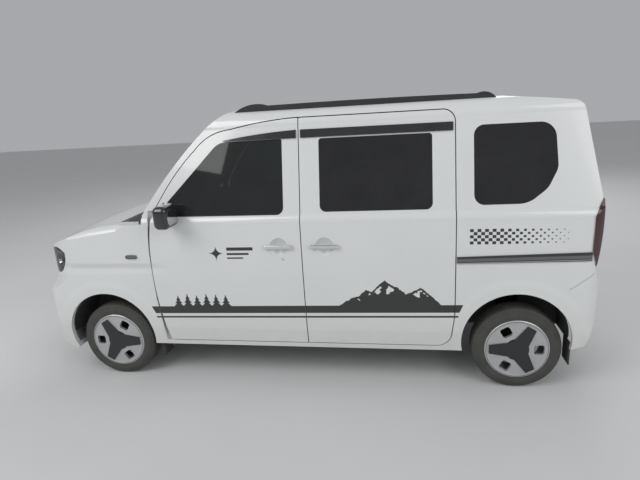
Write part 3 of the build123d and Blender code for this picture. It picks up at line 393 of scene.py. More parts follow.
def tree_row(tree, x, level):
    """A row of fir trees in tiers, each a little taller or shorter than the last."""
    along = calc(tree, "DIVIDE", calc(tree, "SUBTRACT", x, TREES_START), TREE_PITCH)
    number = calc(tree, "FLOOR", along)
    off = calc(tree, "ABSOLUTE", calc(tree, "SUBTRACT", calc(tree, "FRACT", along), 0.5))
    size = spread(tree, calc(tree, "SINE", calc(tree, "MULTIPLY", number, 2.3)), 0.84, 1.0)
    height = calc(tree, "DIVIDE", calc(tree, "SUBTRACT", level, STRIPE_HIGH - 0.002), TREE_HEIGHT)
    rise = calc(tree, "DIVIDE", height, size)
    tier = spread(tree, calc(tree, "FRACT", calc(tree, "MULTIPLY", rise, 3.4)), 1.25, 0.62)
    width = times(tree, calc(tree, "SUBTRACT", 1.02, rise), tier, 0.46)
    crown = times(tree, calc(tree, "LESS_THAN", off, width), between(tree, rise, 0.0, 1.0))
    return times(tree, crown, between(tree, x, TREES_START, TREES_END))


def checker_fade(tree, x, z):
    """A checker whose dark squares shrink towards the rear."""
    column = calc(tree, "DIVIDE", calc(tree, "SUBTRACT", x, CHECKER_X), CHECK_W)
    row = calc(tree, "DIVIDE", calc(tree, "SUBTRACT", z, CHECKER_Z), CHECK_H)
    parity = calc(tree, "MODULO", calc(tree, "ADD", calc(tree, "FLOOR", column), calc(tree, "FLOOR", row)), 2.0)
    dark = calc(tree, "LESS_THAN", calc(tree, "ABSOLUTE", parity), 0.5)
    fill = node(tree, "MapRange", {0: column, 1: 6.0, 2: 27.0, 3: 0.54, 4: 0.10}).outputs[0]
    off_x = calc(tree, "ABSOLUTE", calc(tree, "SUBTRACT", calc(tree, "FRACT", column), 0.5))
    off_z = calc(tree, "ABSOLUTE", calc(tree, "SUBTRACT", calc(tree, "FRACT", row), 0.5))
    square = times(tree, calc(tree, "LESS_THAN", off_x, fill), calc(tree, "LESS_THAN", off_z, fill))
    return times(tree, dark, square, between(tree, column, 0.0, 26.0), between(tree, row, 0.0, 5.0))


def star_and_bars(tree, x, z):
    """A four-pointed star with three short bars beside it."""
    across = calc(tree, "SQRT", calc(tree, "ABSOLUTE", calc(tree, "SUBTRACT", x, STAR_X)))
    up = calc(tree, "SQRT", calc(tree, "ABSOLUTE", calc(tree, "SUBTRACT", z, STAR_Z)))
    star = calc(tree, "LESS_THAN", calc(tree, "ADD", across, up), math.sqrt(STAR_R))
    bars = [
        times(tree, between(tree, z, low, high), between(tree, x, -0.425, end))
        for low, high, end in ((0.968, 0.990, -0.245), (0.938, 0.952, -0.275), (0.912, 0.922, -0.315))]
    return either(tree, star, *bars)


def ramp(tree, value, start, end):
    """Runs softly from 0 at start to 1 at end."""
    return node(
        tree, "MapRange", {0: value, 1: start, 2: end, 3: 0.0, 4: 1.0}, interpolation_type="SMOOTHSTEP").outputs[0]


def pressed_lines(tree, x, z):
    """Height of the swellings over the wheel arches, the fender's hollow and the rear bumper's crease."""
    swell = 0.0
    for middle_x, middle_z, edge in ARCHES:
        dx = calc(tree, "SUBTRACT", x, middle_x)
        dz = calc(tree, "SUBTRACT", z, middle_z)
        far = calc(tree, "SQRT", calc(tree, "ADD", times(tree, dx, dx), times(tree, dz, dz)))
        swell = calc(tree, "ADD", swell, ramp(tree, far, edge + 0.105, edge + 0.045))
    off = calc(tree, "ABSOLUTE", calc(tree, "SUBTRACT", z, HOLLOW_Z))
    hollow = times(tree, ramp(tree, off, 0.045, 0.0), ramp(tree, x, -1.72, -1.60), ramp(tree, x, -0.80, -1.05))
    height = calc(tree, "SUBTRACT", times(tree, swell, 0.7), times(tree, hollow, 0.9))
    start_x, start_z, turn_x, turn_z = CREASE
    off_x = calc(tree, "MULTIPLY", calc(tree, "SUBTRACT", x, start_x), turn_x)
    off_z = calc(tree, "MULTIPLY", calc(tree, "SUBTRACT", z, start_z), turn_z)
    fold = ramp(tree, calc(tree, "ABSOLUTE", calc(tree, "ADD", off_x, off_z)), 0.012, 0.0)
    fold = times(tree, fold, ramp(tree, x, 1.690, 1.705), ramp(tree, x, 1.835, 1.815))
    height = calc(tree, "ADD", height, times(tree, fold, 0.5))
    return calc(tree, "ADD", height, times(tree, cloud(tree, 420.0, 2.0), 0.0012))


# Each arch has its centre's x and z and its radius; the crease a point and its normal, in x and z
ARCHES = ((-1.372, 0.329, 0.328), (1.414, 0.339, 0.333))
CREASE = (1.692, 0.704, -0.608, 0.794)
HOLLOW_Z = 0.846
PAINT = (0.70, 0.71, 0.70)
PAINT_SHADE = (0.655, 0.668, 0.662)
DECAL = (0.018, 0.021, 0.020)
TRIM_GREY = (0.085, 0.083, 0.080)


def body_paint(name, decals):
    """White lacquer over a faint drift of tone and road dust low down, with the dark film graphics."""
    made, tree, shader = finish(name, 0.22, Coat_Weight=0.6, Coat_Roughness=0.06)
    facing, inward = outward(tree)
    x, _, z = parts_of(tree)
    tone = mixed(tree, cloud(tree, 2.2), PAINT, PAINT_SHADE)
    low_down = node(tree, "MapRange", {0: z, 1: 0.62, 2: 0.22, 3: 0.0, 4: 0.55}).outputs[0]
    dust = times(tree, low_down, cloud(tree, 9.0, 5.0, 0.65))
    tone = mixed(tree, dust, tone, (0.50, 0.49, 0.45))
    tone = mixed(tree, inward, tone, TRIM_GREY)
    rough = spread(tree, cloud(tree, 14.0, 4.0), 0.17, 0.27)
    if decals:
        level, stripes = side_stripes(tree, x, z)
        film = either(
            tree, stripes, mountains(tree, x, level), tree_row(tree, x, level), checker_fade(tree, x, z),
            star_and_bars(tree, x, z))
        film = times(tree, film, facing)
        tone = mixed(tree, film, tone, DECAL)
        rough = calc(tree, "ADD", rough, calc(tree, "MULTIPLY", film, 0.18))
    set_in(tree, shader, "Base Color", tone)
    set_in(tree, shader, "Roughness", rough)
    bumped(tree, shader, pressed_lines(tree, x, z), 1.0, 0.010)
    return made


FINISHES = {}


def shared(name, made):
    FINISHES[name] = made


def glass(name, tint, clear, dust_colour=(0.20, 0.20, 0.19)):
    """Float glass: a tint to look through, a clean gloss and a thin film of dust."""
    made, tree, shader = finish(name, 0.03, IOR=1.5)
    film = calc(tree, "MULTIPLY", cloud(tree, 5.0, 4.0), 0.10)
    set_in(tree, shader, "Base Color", mixed(tree, film, tint, dust_colour))
    see = node(tree, "BsdfTransparent")
    see.inputs[0].default_value = (*[0.35 + 0.65 * c for c in clear], 1)
    haze = spread(tree, cloud(tree, 7.0, 4.0), 0.0, 0.05)
    amount = node(tree, "Fresnel", {"IOR": 1.45}).outputs[0]
    cover = calc(tree, "ADD", calc(tree, "ADD", amount, haze), 1.0 - sum(clear) / 3, clamp=True)
    both = node(tree, "MixShader", {0: cover, 1: see.outputs[0], 2: shader.outputs[0]})
    tree.links.new(both.outputs[0], tree.nodes["Material Output"].inputs["Surface"])
    return made


def tread_rubber():
    made, tree, shader = finish("tyre_rubber", 0.82)
    worn = mixed(tree, cloud(tree, 9.0, 4.0, 0.6), (0.030, 0.030, 0.028), (0.085, 0.083, 0.074))
    set_in(tree, shader, "Base Color", worn)
    bumped(tree, shader, cloud(tree, 260.0, 3.0), 0.25, 0.0006)
    return made


def seat_weave():
    made, tree, shader = finish("seat_fabric", 0.88, Sheen_Weight=0.25)
    coords = places(tree)
    warp = node(tree, "TexWave", {"Vector": coords, "Scale": 240.0}, bands_direction="X").outputs["Fac"]
    weft = node(tree, "TexWave", {"Vector": coords, "Scale": 240.0}, bands_direction="Z").outputs["Fac"]
    lay = node(tree, "TexWave", {"Vector": coords, "Scale": 240.0}, bands_direction="Y").outputs["Fac"]
    cloth = calc(tree, "MULTIPLY", calc(tree, "ADD", warp, weft), lay)
    tone = mixed(tree, calc(tree, "MULTIPLY", cloth, 0.5, clamp=True), (0.035, 0.034, 0.036), (0.090, 0.086, 0.084))
    tone = mixed(tree, calc(tree, "MULTIPLY", cloud(tree, 8.0, 4.0), 0.35), tone, (0.11, 0.10, 0.095))
    set_in(tree, shader, "Base Color", tone)
    bumped(tree, shader, cloth, 0.35, 0.0007)
    return made


def cover_silver():
    """Silver lacquered plastic, dark on the raised plate, with painted shade down inside the holes."""
    made, tree, shader = finish("wheel_cover", 0.34, 0.55, Coat_Weight=0.4, Coat_Roughness=0.15)
    drift = cloud(tree, 18.0, 4.0)
    depth = calc(tree, "ABSOLUTE", parts_of(tree)[1])
    plate = calc(tree, "GREATER_THAN", depth, COVER_FACE_Y + 0.0035)
    # Painted shade: faces more than 22 mm behind the cover's face, down inside the holes, are painted near black
    inside = calc(tree, "LESS_THAN", depth, COVER_FACE_Y - 0.022)
    silver = mixed(tree, drift, (0.44, 0.45, 0.46), (0.56, 0.57, 0.57))
    silver = mixed(tree, calc(tree, "MULTIPLY", cloud(tree, 30.0, 5.0), 0.25), silver, (0.30, 0.29, 0.26))
    tone = mixed(tree, plate, silver, (0.032, 0.034, 0.036))
    tone = mixed(tree, inside, tone, (0.020, 0.020, 0.020))
    set_in(tree, shader, "Base Color", tone)
    set_in(tree, shader, "Roughness", spread(tree, cloud(tree, 40.0, 4.0), 0.26, 0.46))
    return made


def tail_lens():
    """Smoked red lamp glass with brighter light strips running up inside."""
    made, tree, shader = finish("tail_lamp_lens", 0.06, Coat_Weight=0.6, Coat_Roughness=0.03)
    x, _, z = parts_of(tree)
    bend = calc(tree, "MULTIPLY", calc(tree, "SINE", calc(tree, "MULTIPLY", z, 9.0)), 0.006)
    along = calc(tree, "ADD", x, bend)
    strip = either(tree, between(tree, along, 1.868, 1.874), between(tree, along, 1.886, 1.889))
    strip = times(tree, strip, between(tree, z, 0.90, 1.20))
    rib = node(tree, "TexWave", {"Vector": places(tree), "Scale": 60.0}, bands_direction="Z").outputs["Fac"]
    smoke = mixed(tree, calc(tree, "MULTIPLY", rib, 0.5), (0.030, 0.004, 0.006), (0.090, 0.006, 0.010))
    set_in(tree, shader, "Base Color", mixed(tree, strip, smoke, (0.55, 0.012, 0.03)))
    bumped(tree, shader, rib, 0.12, 0.0008)
    return made


def track_band():
    """The sliding door's guide rail seen from outside: dark lips, a satin grey run and one painted highlight line.
    """
    made, tree, shader = finish("track_trim", 0.32)
    x, _, z = parts_of(tree)
    level = calc(tree, "SUBTRACT", z, calc(tree, "MULTIPLY", x, 0.0245))
    grey = between(tree, level, 0.8575, 0.8765)
    # Painted highlight: a thin pale line below the grey run, standing in for a lip catching the light
    light = between(tree, level, 0.8475, 0.8510)
    tone = mixed(tree, grey, (0.020, 0.021, 0.022), (0.115, 0.118, 0.120))
    tone = mixed(tree, light, tone, (0.42, 0.43, 0.42))
    tone = mixed(tree, calc(tree, "MULTIPLY", cloud(tree, 16.0, 4.0), 0.2), tone, (0.15, 0.15, 0.14))
    set_in(tree, shader, "Base Color", tone)
    return made


def rail_metal():
    """Dark satin roof rail with a painted highlight on its upward-facing top."""
    made, tree, shader = finish("rail_metal", 0.36, 0.35)
    # Painted highlight: faces that look up are painted pale grey, not worn metal
    top = calc(tree, "GREATER_THAN", parts_of(tree, "Normal")[2], 0.80)
    drift = cloud(tree, 12.0, 4.0)
    tone = mixed(tree, drift, (0.030, 0.031, 0.033), (0.055, 0.056, 0.058))
    tone = mixed(tree, top, tone, (0.30, 0.31, 0.31))
    set_in(tree, shader, "Base Color", tone)
    set_in(tree, shader, "Roughness", spread(tree, cloud(tree, 50.0), 0.28, 0.44))
    return made


def floor_coat():
    """Underseal outside, carpet where it faces up into the cabin."""
    made, tree, shader = finish("underbody_coat", 0.75)
    x, _, z = parts_of(tree)
    carpet = times(
        tree, calc(tree, "GREATER_THAN", parts_of(tree, "Normal")[2], 0.5), calc(tree, "GREATER_THAN", z, 0.37),
        calc(tree, "GREATER_THAN", x, -1.0))
    seal = mixed(tree, cloud(tree, 12.0, 5.0), (0.030, 0.030, 0.030), (0.075, 0.072, 0.066))
    pile = mixed(tree, cloud(tree, 420.0, 2.0), (0.045, 0.044, 0.043), (0.12, 0.115, 0.11))
    set_in(tree, shader, "Base Color", mixed(tree, carpet, seal, pile))
    bumped(tree, shader, cloud(tree, 500.0, 2.0), 0.3, 0.0008)
    return made


COVER_FACE_Y = 0.7680

shared("body_paint", body_paint("body_paint", True))
shared("bumper_paint", body_paint("bumper_paint", False))
shared("underbody_coat", floor_coat())
black = shared("black_plastic", two_tone(
    "black_plastic", (0.020, 0.020, 0.021), (0.042, 0.042, 0.041), 14.0, 0.55, grain=0.25))
shared("clear_glass", glass("clear_glass", (0.020, 0.024, 0.024), (0.42, 0.45, 0.44)))
shared("privacy_glass", glass("privacy_glass", (0.006, 0.006, 0.008), (0.075, 0.080, 0.085)))
shared("handle_chrome", two_tone(
    "handle_chrome", (0.66, 0.67, 0.67), (0.80, 0.81, 0.80), 30.0, 0.12, 1.0, 0.05))
shared("visor_plastic", two_tone(
    "visor_plastic", (0.012, 0.012, 0.013), (0.026, 0.026, 0.027), 8.0, 0.16, Coat_Weight=0.5))
shared("track_trim", track_band())
shared("rail_metal", rail_metal())
shared("lamp_lens", glass("lamp_lens", (0.20, 0.21, 0.21), (0.86, 0.87, 0.87), (0.5, 0.5, 0.48)))
shared("tail_lamp_lens", tail_lens())
shared("flap_rubber", two_tone(
    "flap_rubber", (0.022, 0.022, 0.021), (0.070, 0.068, 0.062), 16.0, 0.80, grain=0.3))
cabin = shared("cabin_plastic", two_tone(
    "cabin_plastic", (0.040, 0.040, 0.041), (0.070, 0.069, 0.067), 10.0, 0.62, grain=0.5, grain_scale=700.0))
shared("seat_fabric", seat_weave())
shared("battery_case", two_tone(
    "battery_case", (0.20, 0.20, 0.205), (0.34, 0.34, 0.33), 9.0, 0.48, 0.8, grain=0.15))
shared("chassis_iron", two_tone(
    "chassis_iron", (0.035, 0.034, 0.033), (0.110, 0.090, 0.072), 22.0, 0.66, 0.35, grain=0.35, grain_scale=300.0))
shared("spring_steel", two_tone(
    "spring_steel", (0.060, 0.058, 0.056), (0.160, 0.140, 0.120), 18.0, 0.52, 0.6, grain=0.2))
shared("mirror_shell", two_tone(
    "mirror_shell", (0.010, 0.011, 0.012), (0.022, 0.023, 0.025), 6.0, 0.10, Coat_Weight=0.8))
shared("steering_rim", two_tone(
    "steering_rim", (0.020, 0.020, 0.020), (0.045, 0.043, 0.042), 30.0, 0.50, grain=0.5, grain_scale=380.0))
shared("wheel_cover", cover_silver())
shared("tyre_rubber", tread_rubber())

seal_rubber = two_tone("seal_rubber", (0.012, 0.012, 0.012), (0.030, 0.030, 0.029), 20.0, 0.60, grain=0.2)
mirror_silver = two_tone("mirror_silver", (0.50, 0.51, 0.52), (0.58, 0.59, 0.60), 5.0, 0.03, 1.0, 0.02)
lamp_chrome = two_tone("lamp_chrome", (0.62, 0.63, 0.64), (0.84, 0.85, 0.86), 25.0, 0.09, 1.0, 0.04)
lamp_dark = two_tone("lamp_dark", (0.012, 0.013, 0.014), (0.030, 0.031, 0.033), 20.0, 0.30, grain=0.2)
lamp_bead = two_tone("lamp_bead", (0.74, 0.75, 0.76), (0.90, 0.91, 0.92), 30.0, 0.12, Coat_Weight=1.0)
trim_cloth = two_tone(
    "trim_cloth", (0.11, 0.105, 0.10), (0.17, 0.165, 0.155), 16.0, 0.85, grain=0.6, grain_scale=500.0)
bolt_steel = two_tone("bolt_steel", (0.25, 0.25, 0.25), (0.42, 0.42, 0.41), 40.0, 0.35, 0.9)
belt_webbing = two_tone("belt_webbing", (0.030, 0.030, 0.032), (0.060, 0.060, 0.062), 260.0, 0.75, grain=0.5)
dial_glass = two_tone("dial_glass", (0.008, 0.009, 0.011), (0.018, 0.020, 0.024), 6.0, 0.08, Coat_Weight=0.8)

for part in frame["record"]["subparts"]:
    piece = nodes[part["node"]]
    piece.data.materials.clear()
    piece.data.materials.append(FINISHES[part["material_slot"]])


# Rubber round the fixed and moving glasses
def glass_edge(name, glass_node, out, thick, body, half=0, slot="black_plastic", skin=seal_rubber):
    """Follows the edge of a pane, on the face that looks out, with a round bead. half keeps one side of a pair."""
    pane = merged_copy(glass_node)
    for face in pane.data.polygons:
        face.select = face.normal.dot(Vector(out)) > 0.35 and face.center.y * half >= 0
    mode("EDIT")
    bpy.ops.mesh.select_all(action="INVERT")
    bpy.ops.mesh.delete(type="FACE")
    bpy.ops.mesh.select_all(action="SELECT")
    bpy.ops.mesh.region_to_loop()
    mode("OBJECT")
    mode("EDIT")
    bpy.ops.mesh.select_all(action="INVERT")
    bpy.ops.mesh.delete(type="VERT")
    mode("OBJECT")
    pick(pane)
    bpy.ops.object.convert(target="CURVE")
    pane = bpy.context.object
    pane.data.bevel_depth = thick
    pane.data.bevel_resolution = 2
    bpy.ops.object.convert(target="MESH")
    settle(smooth(bpy.context.object, 60), name, body, slot, skin)


DOOR_BEAD, FIXED_BEAD, LAMP_BEAD = 0.0055, 0.0050, 0.0032
for word, side in SIDES:
    out = (0, side, 0)
    glass_edge("front_window_seal_" + word, "front_door_glass_" + word, out, DOOR_BEAD, "front_door_" + word)
    glass_edge("sliding_window_seal_" + word, "sliding_door_glasses", out, DOOR_BEAD, "body", side)
    glass_edge("quarter_window_seal_" + word, "quarter_glasses", out, FIXED_BEAD, "body", side)
    glass_edge(
        "lamp_rim_" + word, "front_lamps", (-0.7, side * 0.7, 0), LAMP_BEAD, "body", side, "handle_chrome",
        lamp_chrome)
glass_edge("tailgate_window_seal", "tailgate_glass", (1, 0, 0), DOOR_BEAD, "tailgate")
glass_edge("windscreen_seal", "windscreen", (-1, 0, 0), FIXED_BEAD, "body")


# Headlamps: dark bowl behind the lens, two reflectors with beads, and a light bar
LAMP_BOW, LAMP_BOW_Y, LAMP_Z, LAMP_BAR_Z = -1.505, 0.412, 0.886, 0.944


def lamp_spot(side, degrees, z):
    """Where the lens faces out at this turn from straight ahead, and which way it faces."""
    away = Vector((-math.cos(math.radians(degrees)), side * math.sin(math.radians(degrees)), 0))
    start = Vector((LAMP_BOW, side * LAMP_BOW_Y, z)) + away * 0.6
    return nodes["front_lamps"].ray_cast(start, -away)[1:3]


def headlamp(word, side):
    bowl = merged_copy("front_lamps")
    inward = Vector((0.7, -side * 0.7, 0))
    for face in bowl.data.polygons:
        face.select = face.normal.dot(inward) < 0.35 or face.center.y * side < 0 or face.center.x > -1.4
    mode("EDIT")
    bpy.ops.mesh.delete(type="FACE")
    bpy.ops.mesh.select_all(action="SELECT")
    bpy.ops.transform.shrink_fatten(value=0.0010)
    mode("OBJECT")
    thickened(bowl, 0.003)
    settle(smooth(bowl, 40), "lamp_bowl_" + word, "body", "black_plastic", lamp_dark)
    cups, beads = [], []
    for degrees, r in ((40, 0.037), (58, 0.030)):
        place, normal = lamp_spot(side, degrees, LAMP_Z)
        centre = place - normal * 0.007
        cups.append(turned(
            [(r, 0.0), (r + 0.003, 0.0), (r + 0.002, -0.006), (r * 0.6, -0.020), (0.0001, -0.021), (0.0001, -0.018),
             (r * 0.55, -0.016)], centre, normal, 40))
        beads.append(turned(
            [(0.0001, 0.0), (r * 0.5, 0.0), (r * 0.46, 0.006), (r * 0.28, 0.0105), (0.0001, 0.012)],
            centre - normal * 0.016, normal, 32))
    settle(smooth(joined(*cups)), "lamp_cups_" + word, "body", "handle_chrome", lamp_chrome)
    settle(smooth(joined(*beads), 60), "lamp_beads_" + word, "body", "lamp_lens", lamp_bead)
    arc = [lamp_spot(side, degrees, LAMP_BAR_Z)[0] for degrees in range(36, 65, 4)]
    centre = Vector((LAMP_BOW, side * LAMP_BOW_Y, LAMP_BAR_Z))
    near = [p - (p - centre).normalized() * 0.009 for p in arc]
    far = [p - (p - centre).normalized() * 0.015 for p in reversed(arc)]
    settle(smooth(prism(near + far, (0, 0, 0.007))), "lamp_bar_" + word, "body", "lamp_lens", lamp_bead)


for word, side in SIDES:
    headlamp(word, side)


# Tyres: sidewall rings, a stepped shoulder and grooves in the tread
TREAD_GROOVES = (-0.040, -0.0135, 0.0135, 0.040)
GROOVE_HALF, GROOVE_DEPTH = 0.0042, 0.0065


def tyre_profile():
    half, top = TYRE_HALF_W, TYRE_R
    outside = [
        (RIM_R, half - 0.012), (RIM_R + 0.004, half - 0.005), (RIM_R + 0.012, half - 0.003),
        (RIM_R + 0.020, half - 0.0045), (RIM_R + 0.034, half - 0.0005), (RIM_R + 0.046, half - 0.0002),
        (RIM_R + 0.052, half - 0.0035), (top - 0.026, half - 0.0065), (top - 0.024, half - 0.0095),
        (top - 0.012, half - 0.0125), (top - 0.005, half - 0.0190)]
    tread = []
    for middle in reversed(TREAD_GROOVES):
        for offset, drop in (
                (GROOVE_HALF, 0.0), (GROOVE_HALF * 0.7, GROOVE_DEPTH), (-GROOVE_HALF * 0.7, GROOVE_DEPTH),
                (-GROOVE_HALF, 0.0)):
            tread.append((top - drop - 0.9 * (middle ** 2), middle + offset))
    inside = [(r, -h) for r, h in reversed(outside)]
    return outside + tread + inside


def tyre(name, x, side, body, slot, replaced):
    obj = turned(tyre_profile(), (x, side * WHEEL_Y, WHEEL_Z), (0, 1, 0), 108)
    smooth(obj, 32)
    settle(obj, name, body, slot)
    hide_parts(replaced)


for end, x in (("front", FRONT_AXLE_X), ("rear", REAR_AXLE_X)):
    for word, side in SIDES:
        corner = end + "_" + word
        tyre("tyre_tread_" + corner, x, side, "wheel_" + corner, "tyre_rubber", "tyre_" + corner)
        # Painted shade: a dark rubber ring at the cover's edge stands in for the shade in the gap between cover and
        # tyre
        gap_shade_ring = turned(
            [(0.1865, -0.006), (0.1935, -0.006), (0.1935, 0.0005), (0.1900, 0.0028), (0.1865, 0.0005)],
            (x, side * COVER_FACE_Y, WHEEL_Z), (0, side, 0), 96)
        settle(smooth(gap_shade_ring, 40), "cover_gap_shade_ring_" + corner, "wheel_" + corner, "black_plastic", seal_rubber)


# Seats: each pad is blown up as cloth, then sewn
SEAT_LEAN = math.radians(12)
PAD_PRESSURE = 4.0
PAD_FRAMES = 20
SEAM_WIDTH = 0.011
POST_Z = 1.212


def puffed(obj, cap):
    """Blows the pad up like a stuffed bag; no point moves further than cap."""
    pick(obj)
    start = [v.co.copy() for v in obj.data.vertices]
    mod = obj.modifiers.new("Stuffing", "CLOTH")
    mod.settings.use_pressure = True
    mod.settings.uniform_pressure_force = PAD_PRESSURE
    mod.settings.quality = 4
    mod.settings.effector_weights.gravity = 0
    mod.point_cache.frame_start = 1
    mod.point_cache.frame_end = PAD_FRAMES
    scene = bpy.context.scene
    for moment in range(1, PAD_FRAMES + 1):
        scene.frame_set(moment)
    bpy.ops.object.modifier_apply(modifier=mod.name)
    scene.frame_set(1)
    for vertex, was in zip(obj.data.vertices, start):
        move = vertex.co - was
        if move.length > cap:
            vertex.co = was + move * (cap / move.length)


def sewn(obj, seams, depth, lean_place=None):
    """Presses seam channels in. A seam is an axis, a place along it, and optional limits on another axis."""
    back = Matrix.Rotation(-SEAT_LEAN, 3, "Y") if lean_place else None
    centre = Vector(lean_place or (0, 0, 0))
    for vertex in obj.data.vertices:
        flat = back @ (vertex.co - centre) + centre if back else vertex.co
        push = 0.0
        for axis, at, other, low, high in seams:
            if low <= flat[other] <= high:
                push = max(push, math.exp(-((flat[axis] - at) / SEAM_WIDTH) ** 2))
        vertex.co -= vertex.normal * depth * push


def pad(name, low, high, round_by, voxel, cap, seams, slot, lean_place=None, bolster=0.0, rise_axis=2):
    """One stuffed pad between two corners, leaning back about lean_place where that is given."""
    obj = box(low[0], high[0], low[1], high[1], low[2], high[2])
    if bolster:
        edge = (high[1] - low[1]) / 2 - 0.075
        middle = (high[1] + low[1]) / 2
        pick(obj)
        mode("EDIT")
        for place in (middle - edge, middle + edge):
            bpy.ops.mesh.select_all(action="SELECT")
            bpy.ops.mesh.bisect(plane_co=(0, place, 0), plane_no=(0, 1, 0))
        bpy.ops.mesh.select_all(action="DESELECT")
        mode("OBJECT")
        front = max if rise_axis == 2 else min
        level = front(face.center[rise_axis] for face in obj.data.polygons)
        for face in obj.data.polygons:
            face.select = abs(face.center[rise_axis] - level) < 0.001 and abs(face.center[1] - middle) < edge
        mode("EDIT")
        move = [0, 0, 0]
        move[rise_axis] = -bolster if rise_axis == 2 else bolster
        bpy.ops.transform.translate(value=move)
        mode("OBJECT")
    rounded_edges(obj, round_by, 4, 50)
    if lean_place:
        pick(obj)
        mode("EDIT")
        bpy.ops.mesh.select_all(action="SELECT")
        bpy.ops.transform.rotate(value=-SEAT_LEAN, orient_axis="Y", center_override=lean_place)
        mode("OBJECT")
    finish_with(obj, "REMESH", mode="VOXEL", voxel_size=voxel)
    puffed(obj, cap)
    sewn(obj, seams, 0.007, lean_place)
    finish_with(obj, "SUBSURF", levels=1, render_levels=1)
    smooth(obj, 60)
    settle(obj, name, "body", slot)
    return obj


def shifted_copy(obj, name, shift):
    """The same pad again, moved over."""
    pick(obj)
    bpy.ops.object.duplicate()
    copy = bpy.context.object
    copy.location = shift
    bpy.ops.object.transform_apply(location=True, rotation=False, scale=False)
    settle(copy, name, "body", "seat_fabric")
    return copy


def rest_posts(name, x, y, z):
    posts = []
    for off in (-0.055, 0.055):
        bpy.ops.object.select_all(action="DESELECT")
        bpy.ops.mesh.primitive_cylinder_add(
            vertices=20, radius=0.0065, depth=0.11, location=(x, y + off, z), rotation=(0, SEAT_LEAN, 0))
        posts.append(rounded_edges(bpy.context.object, 0.0012, 2))
    settle(smooth(joined(*posts)), name, "body", "handle_chrome")


def seat_base(name, x, y, half, floor):
    """Moulded skirt on two steel runners."""
    parts = [box(x - 0.40, x - 0.04, y - half + 0.062, y + half - 0.062, floor + 0.03, 0.615, 0.018)]
    for off in (-half + 0.09, half - 0.09):
        parts.append(box(x - 0.44, x - 0.02, y + off - 0.022, y + off + 0.022, floor, floor + 0.032, 0.004))
    settle(smooth(joined(*parts)), name, "body", "cabin_plastic")


def seat(name, x, y, half, floor, voxel, rests):
    bench = half > 0.3
    all_over = (-9, 9)
    middle_part = (y - half + 0.07, y + half - 0.07)
    cross = [(1, y, 0, *all_over)] if bench else []
    cushion_seams = cross + [(0, x - 0.40, 1, *all_over), (0, x - 0.13, 1, *middle_part)]
    back_seams = cross + [(2, 1.10, 1, *middle_part), (2, 0.78, 1, *middle_part)]
    side_seams = [(1, y - half + 0.075, 0, *all_over), (1, y + half - 0.075, 0, *all_over)]
    back_place = (x + 0.020, y, 0.940)
    made = [
        pad(name + "_cushion", (x - 0.458, y - half + 0.010, 0.622), (x - 0.012, y + half - 0.010, 0.722), 0.034,
            voxel, 0.016, cushion_seams + side_seams, "seat_fabric", None, 0.016),
        pad(name + "_back", (x - 0.027, y - half + 0.010, 0.672), (x + 0.067, y + half - 0.010, 1.192), 0.034,
            voxel, 0.016, back_seams + side_seams, "seat_fabric", back_place, 0.016, 0)]
    for i, rest_y in enumerate(rests):
        rest_place = (x + 0.088, rest_y, 1.262)
        made.append(pad(
            name + "_head_rest_" + str(i + 1), (x + 0.054, rest_y - 0.108, 1.224),
            (x + 0.122, rest_y + 0.108, 1.330), 0.026, 0.006, 0.010, [], "seat_fabric", rest_place))
        rest_posts(name + "_head_rest_posts_" + str(i + 1), x + 0.080, rest_y, POST_Z)
    seat_base(name + "_base", x, y, half, floor)
    return made


FRONT_SEAT_X = FRONT_AXLE_X + 1.330
FRONT_SEAT_HALF = 0.235
driver_seat = seat("driver_seat", FRONT_SEAT_X, -DRIVER_Y, FRONT_SEAT_HALF, FLOOR_Z, 0.0075, (-DRIVER_Y,))
across_cabin = Vector((0, 2 * DRIVER_Y, 0))
for piece, word in zip(driver_seat, ("cushion", "back", "head_rest_1")):
    shifted_copy(piece, "passenger_seat_" + word, across_cabin)
rest_posts("passenger_seat_head_rest_posts_1", FRONT_SEAT_X + 0.080, DRIVER_Y, POST_Z)
seat_base("passenger_seat_base", FRONT_SEAT_X, DRIVER_Y, FRONT_SEAT_HALF, FLOOR_Z)
second_seat = seat("second_row_bench", FRONT_AXLE_X + 2.240, 0.0, 0.600, FLOOR_Z, 0.0105, (-0.300, 0.300))
third_seat = seat("third_row_bench", REAR_AXLE_X + 0.130, 0.0, 0.440, FLOOR_Z + 0.130, 0.0105, (-0.220, 0.220))
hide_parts("front_seats")
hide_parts("second_row_seat")
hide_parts("third_row_seat")


# Doors from inside: trim card, arm rest, pull and speaker ring
CARD = (
    (-0.930, 0.345), (-0.950, 0.620), (-0.945, 0.900), (-0.925, 1.120), (-0.060, 1.150), (0.040, 1.120),
    (0.050, 0.360), (-0.100, 0.340))
SLIDING_CARD = ((0.105, 0.350), (0.105, 1.130), (0.955, 1.130), (0.955, 0.430), (0.880, 0.350))


def card(name, outline, target, side, body):
    sheet = drawn([(x, side * 0.690, z) for x, z in outline])
    cut_up(sheet, 0.040)
    lay_on(sheet, nodes[target], 0.0015)
    thickened(sheet, 0.006, 0.0)
    rounded_edges(sheet, 0.0015, 2, 50)
    settle(smooth(sheet), name, body, "cabin_plastic")


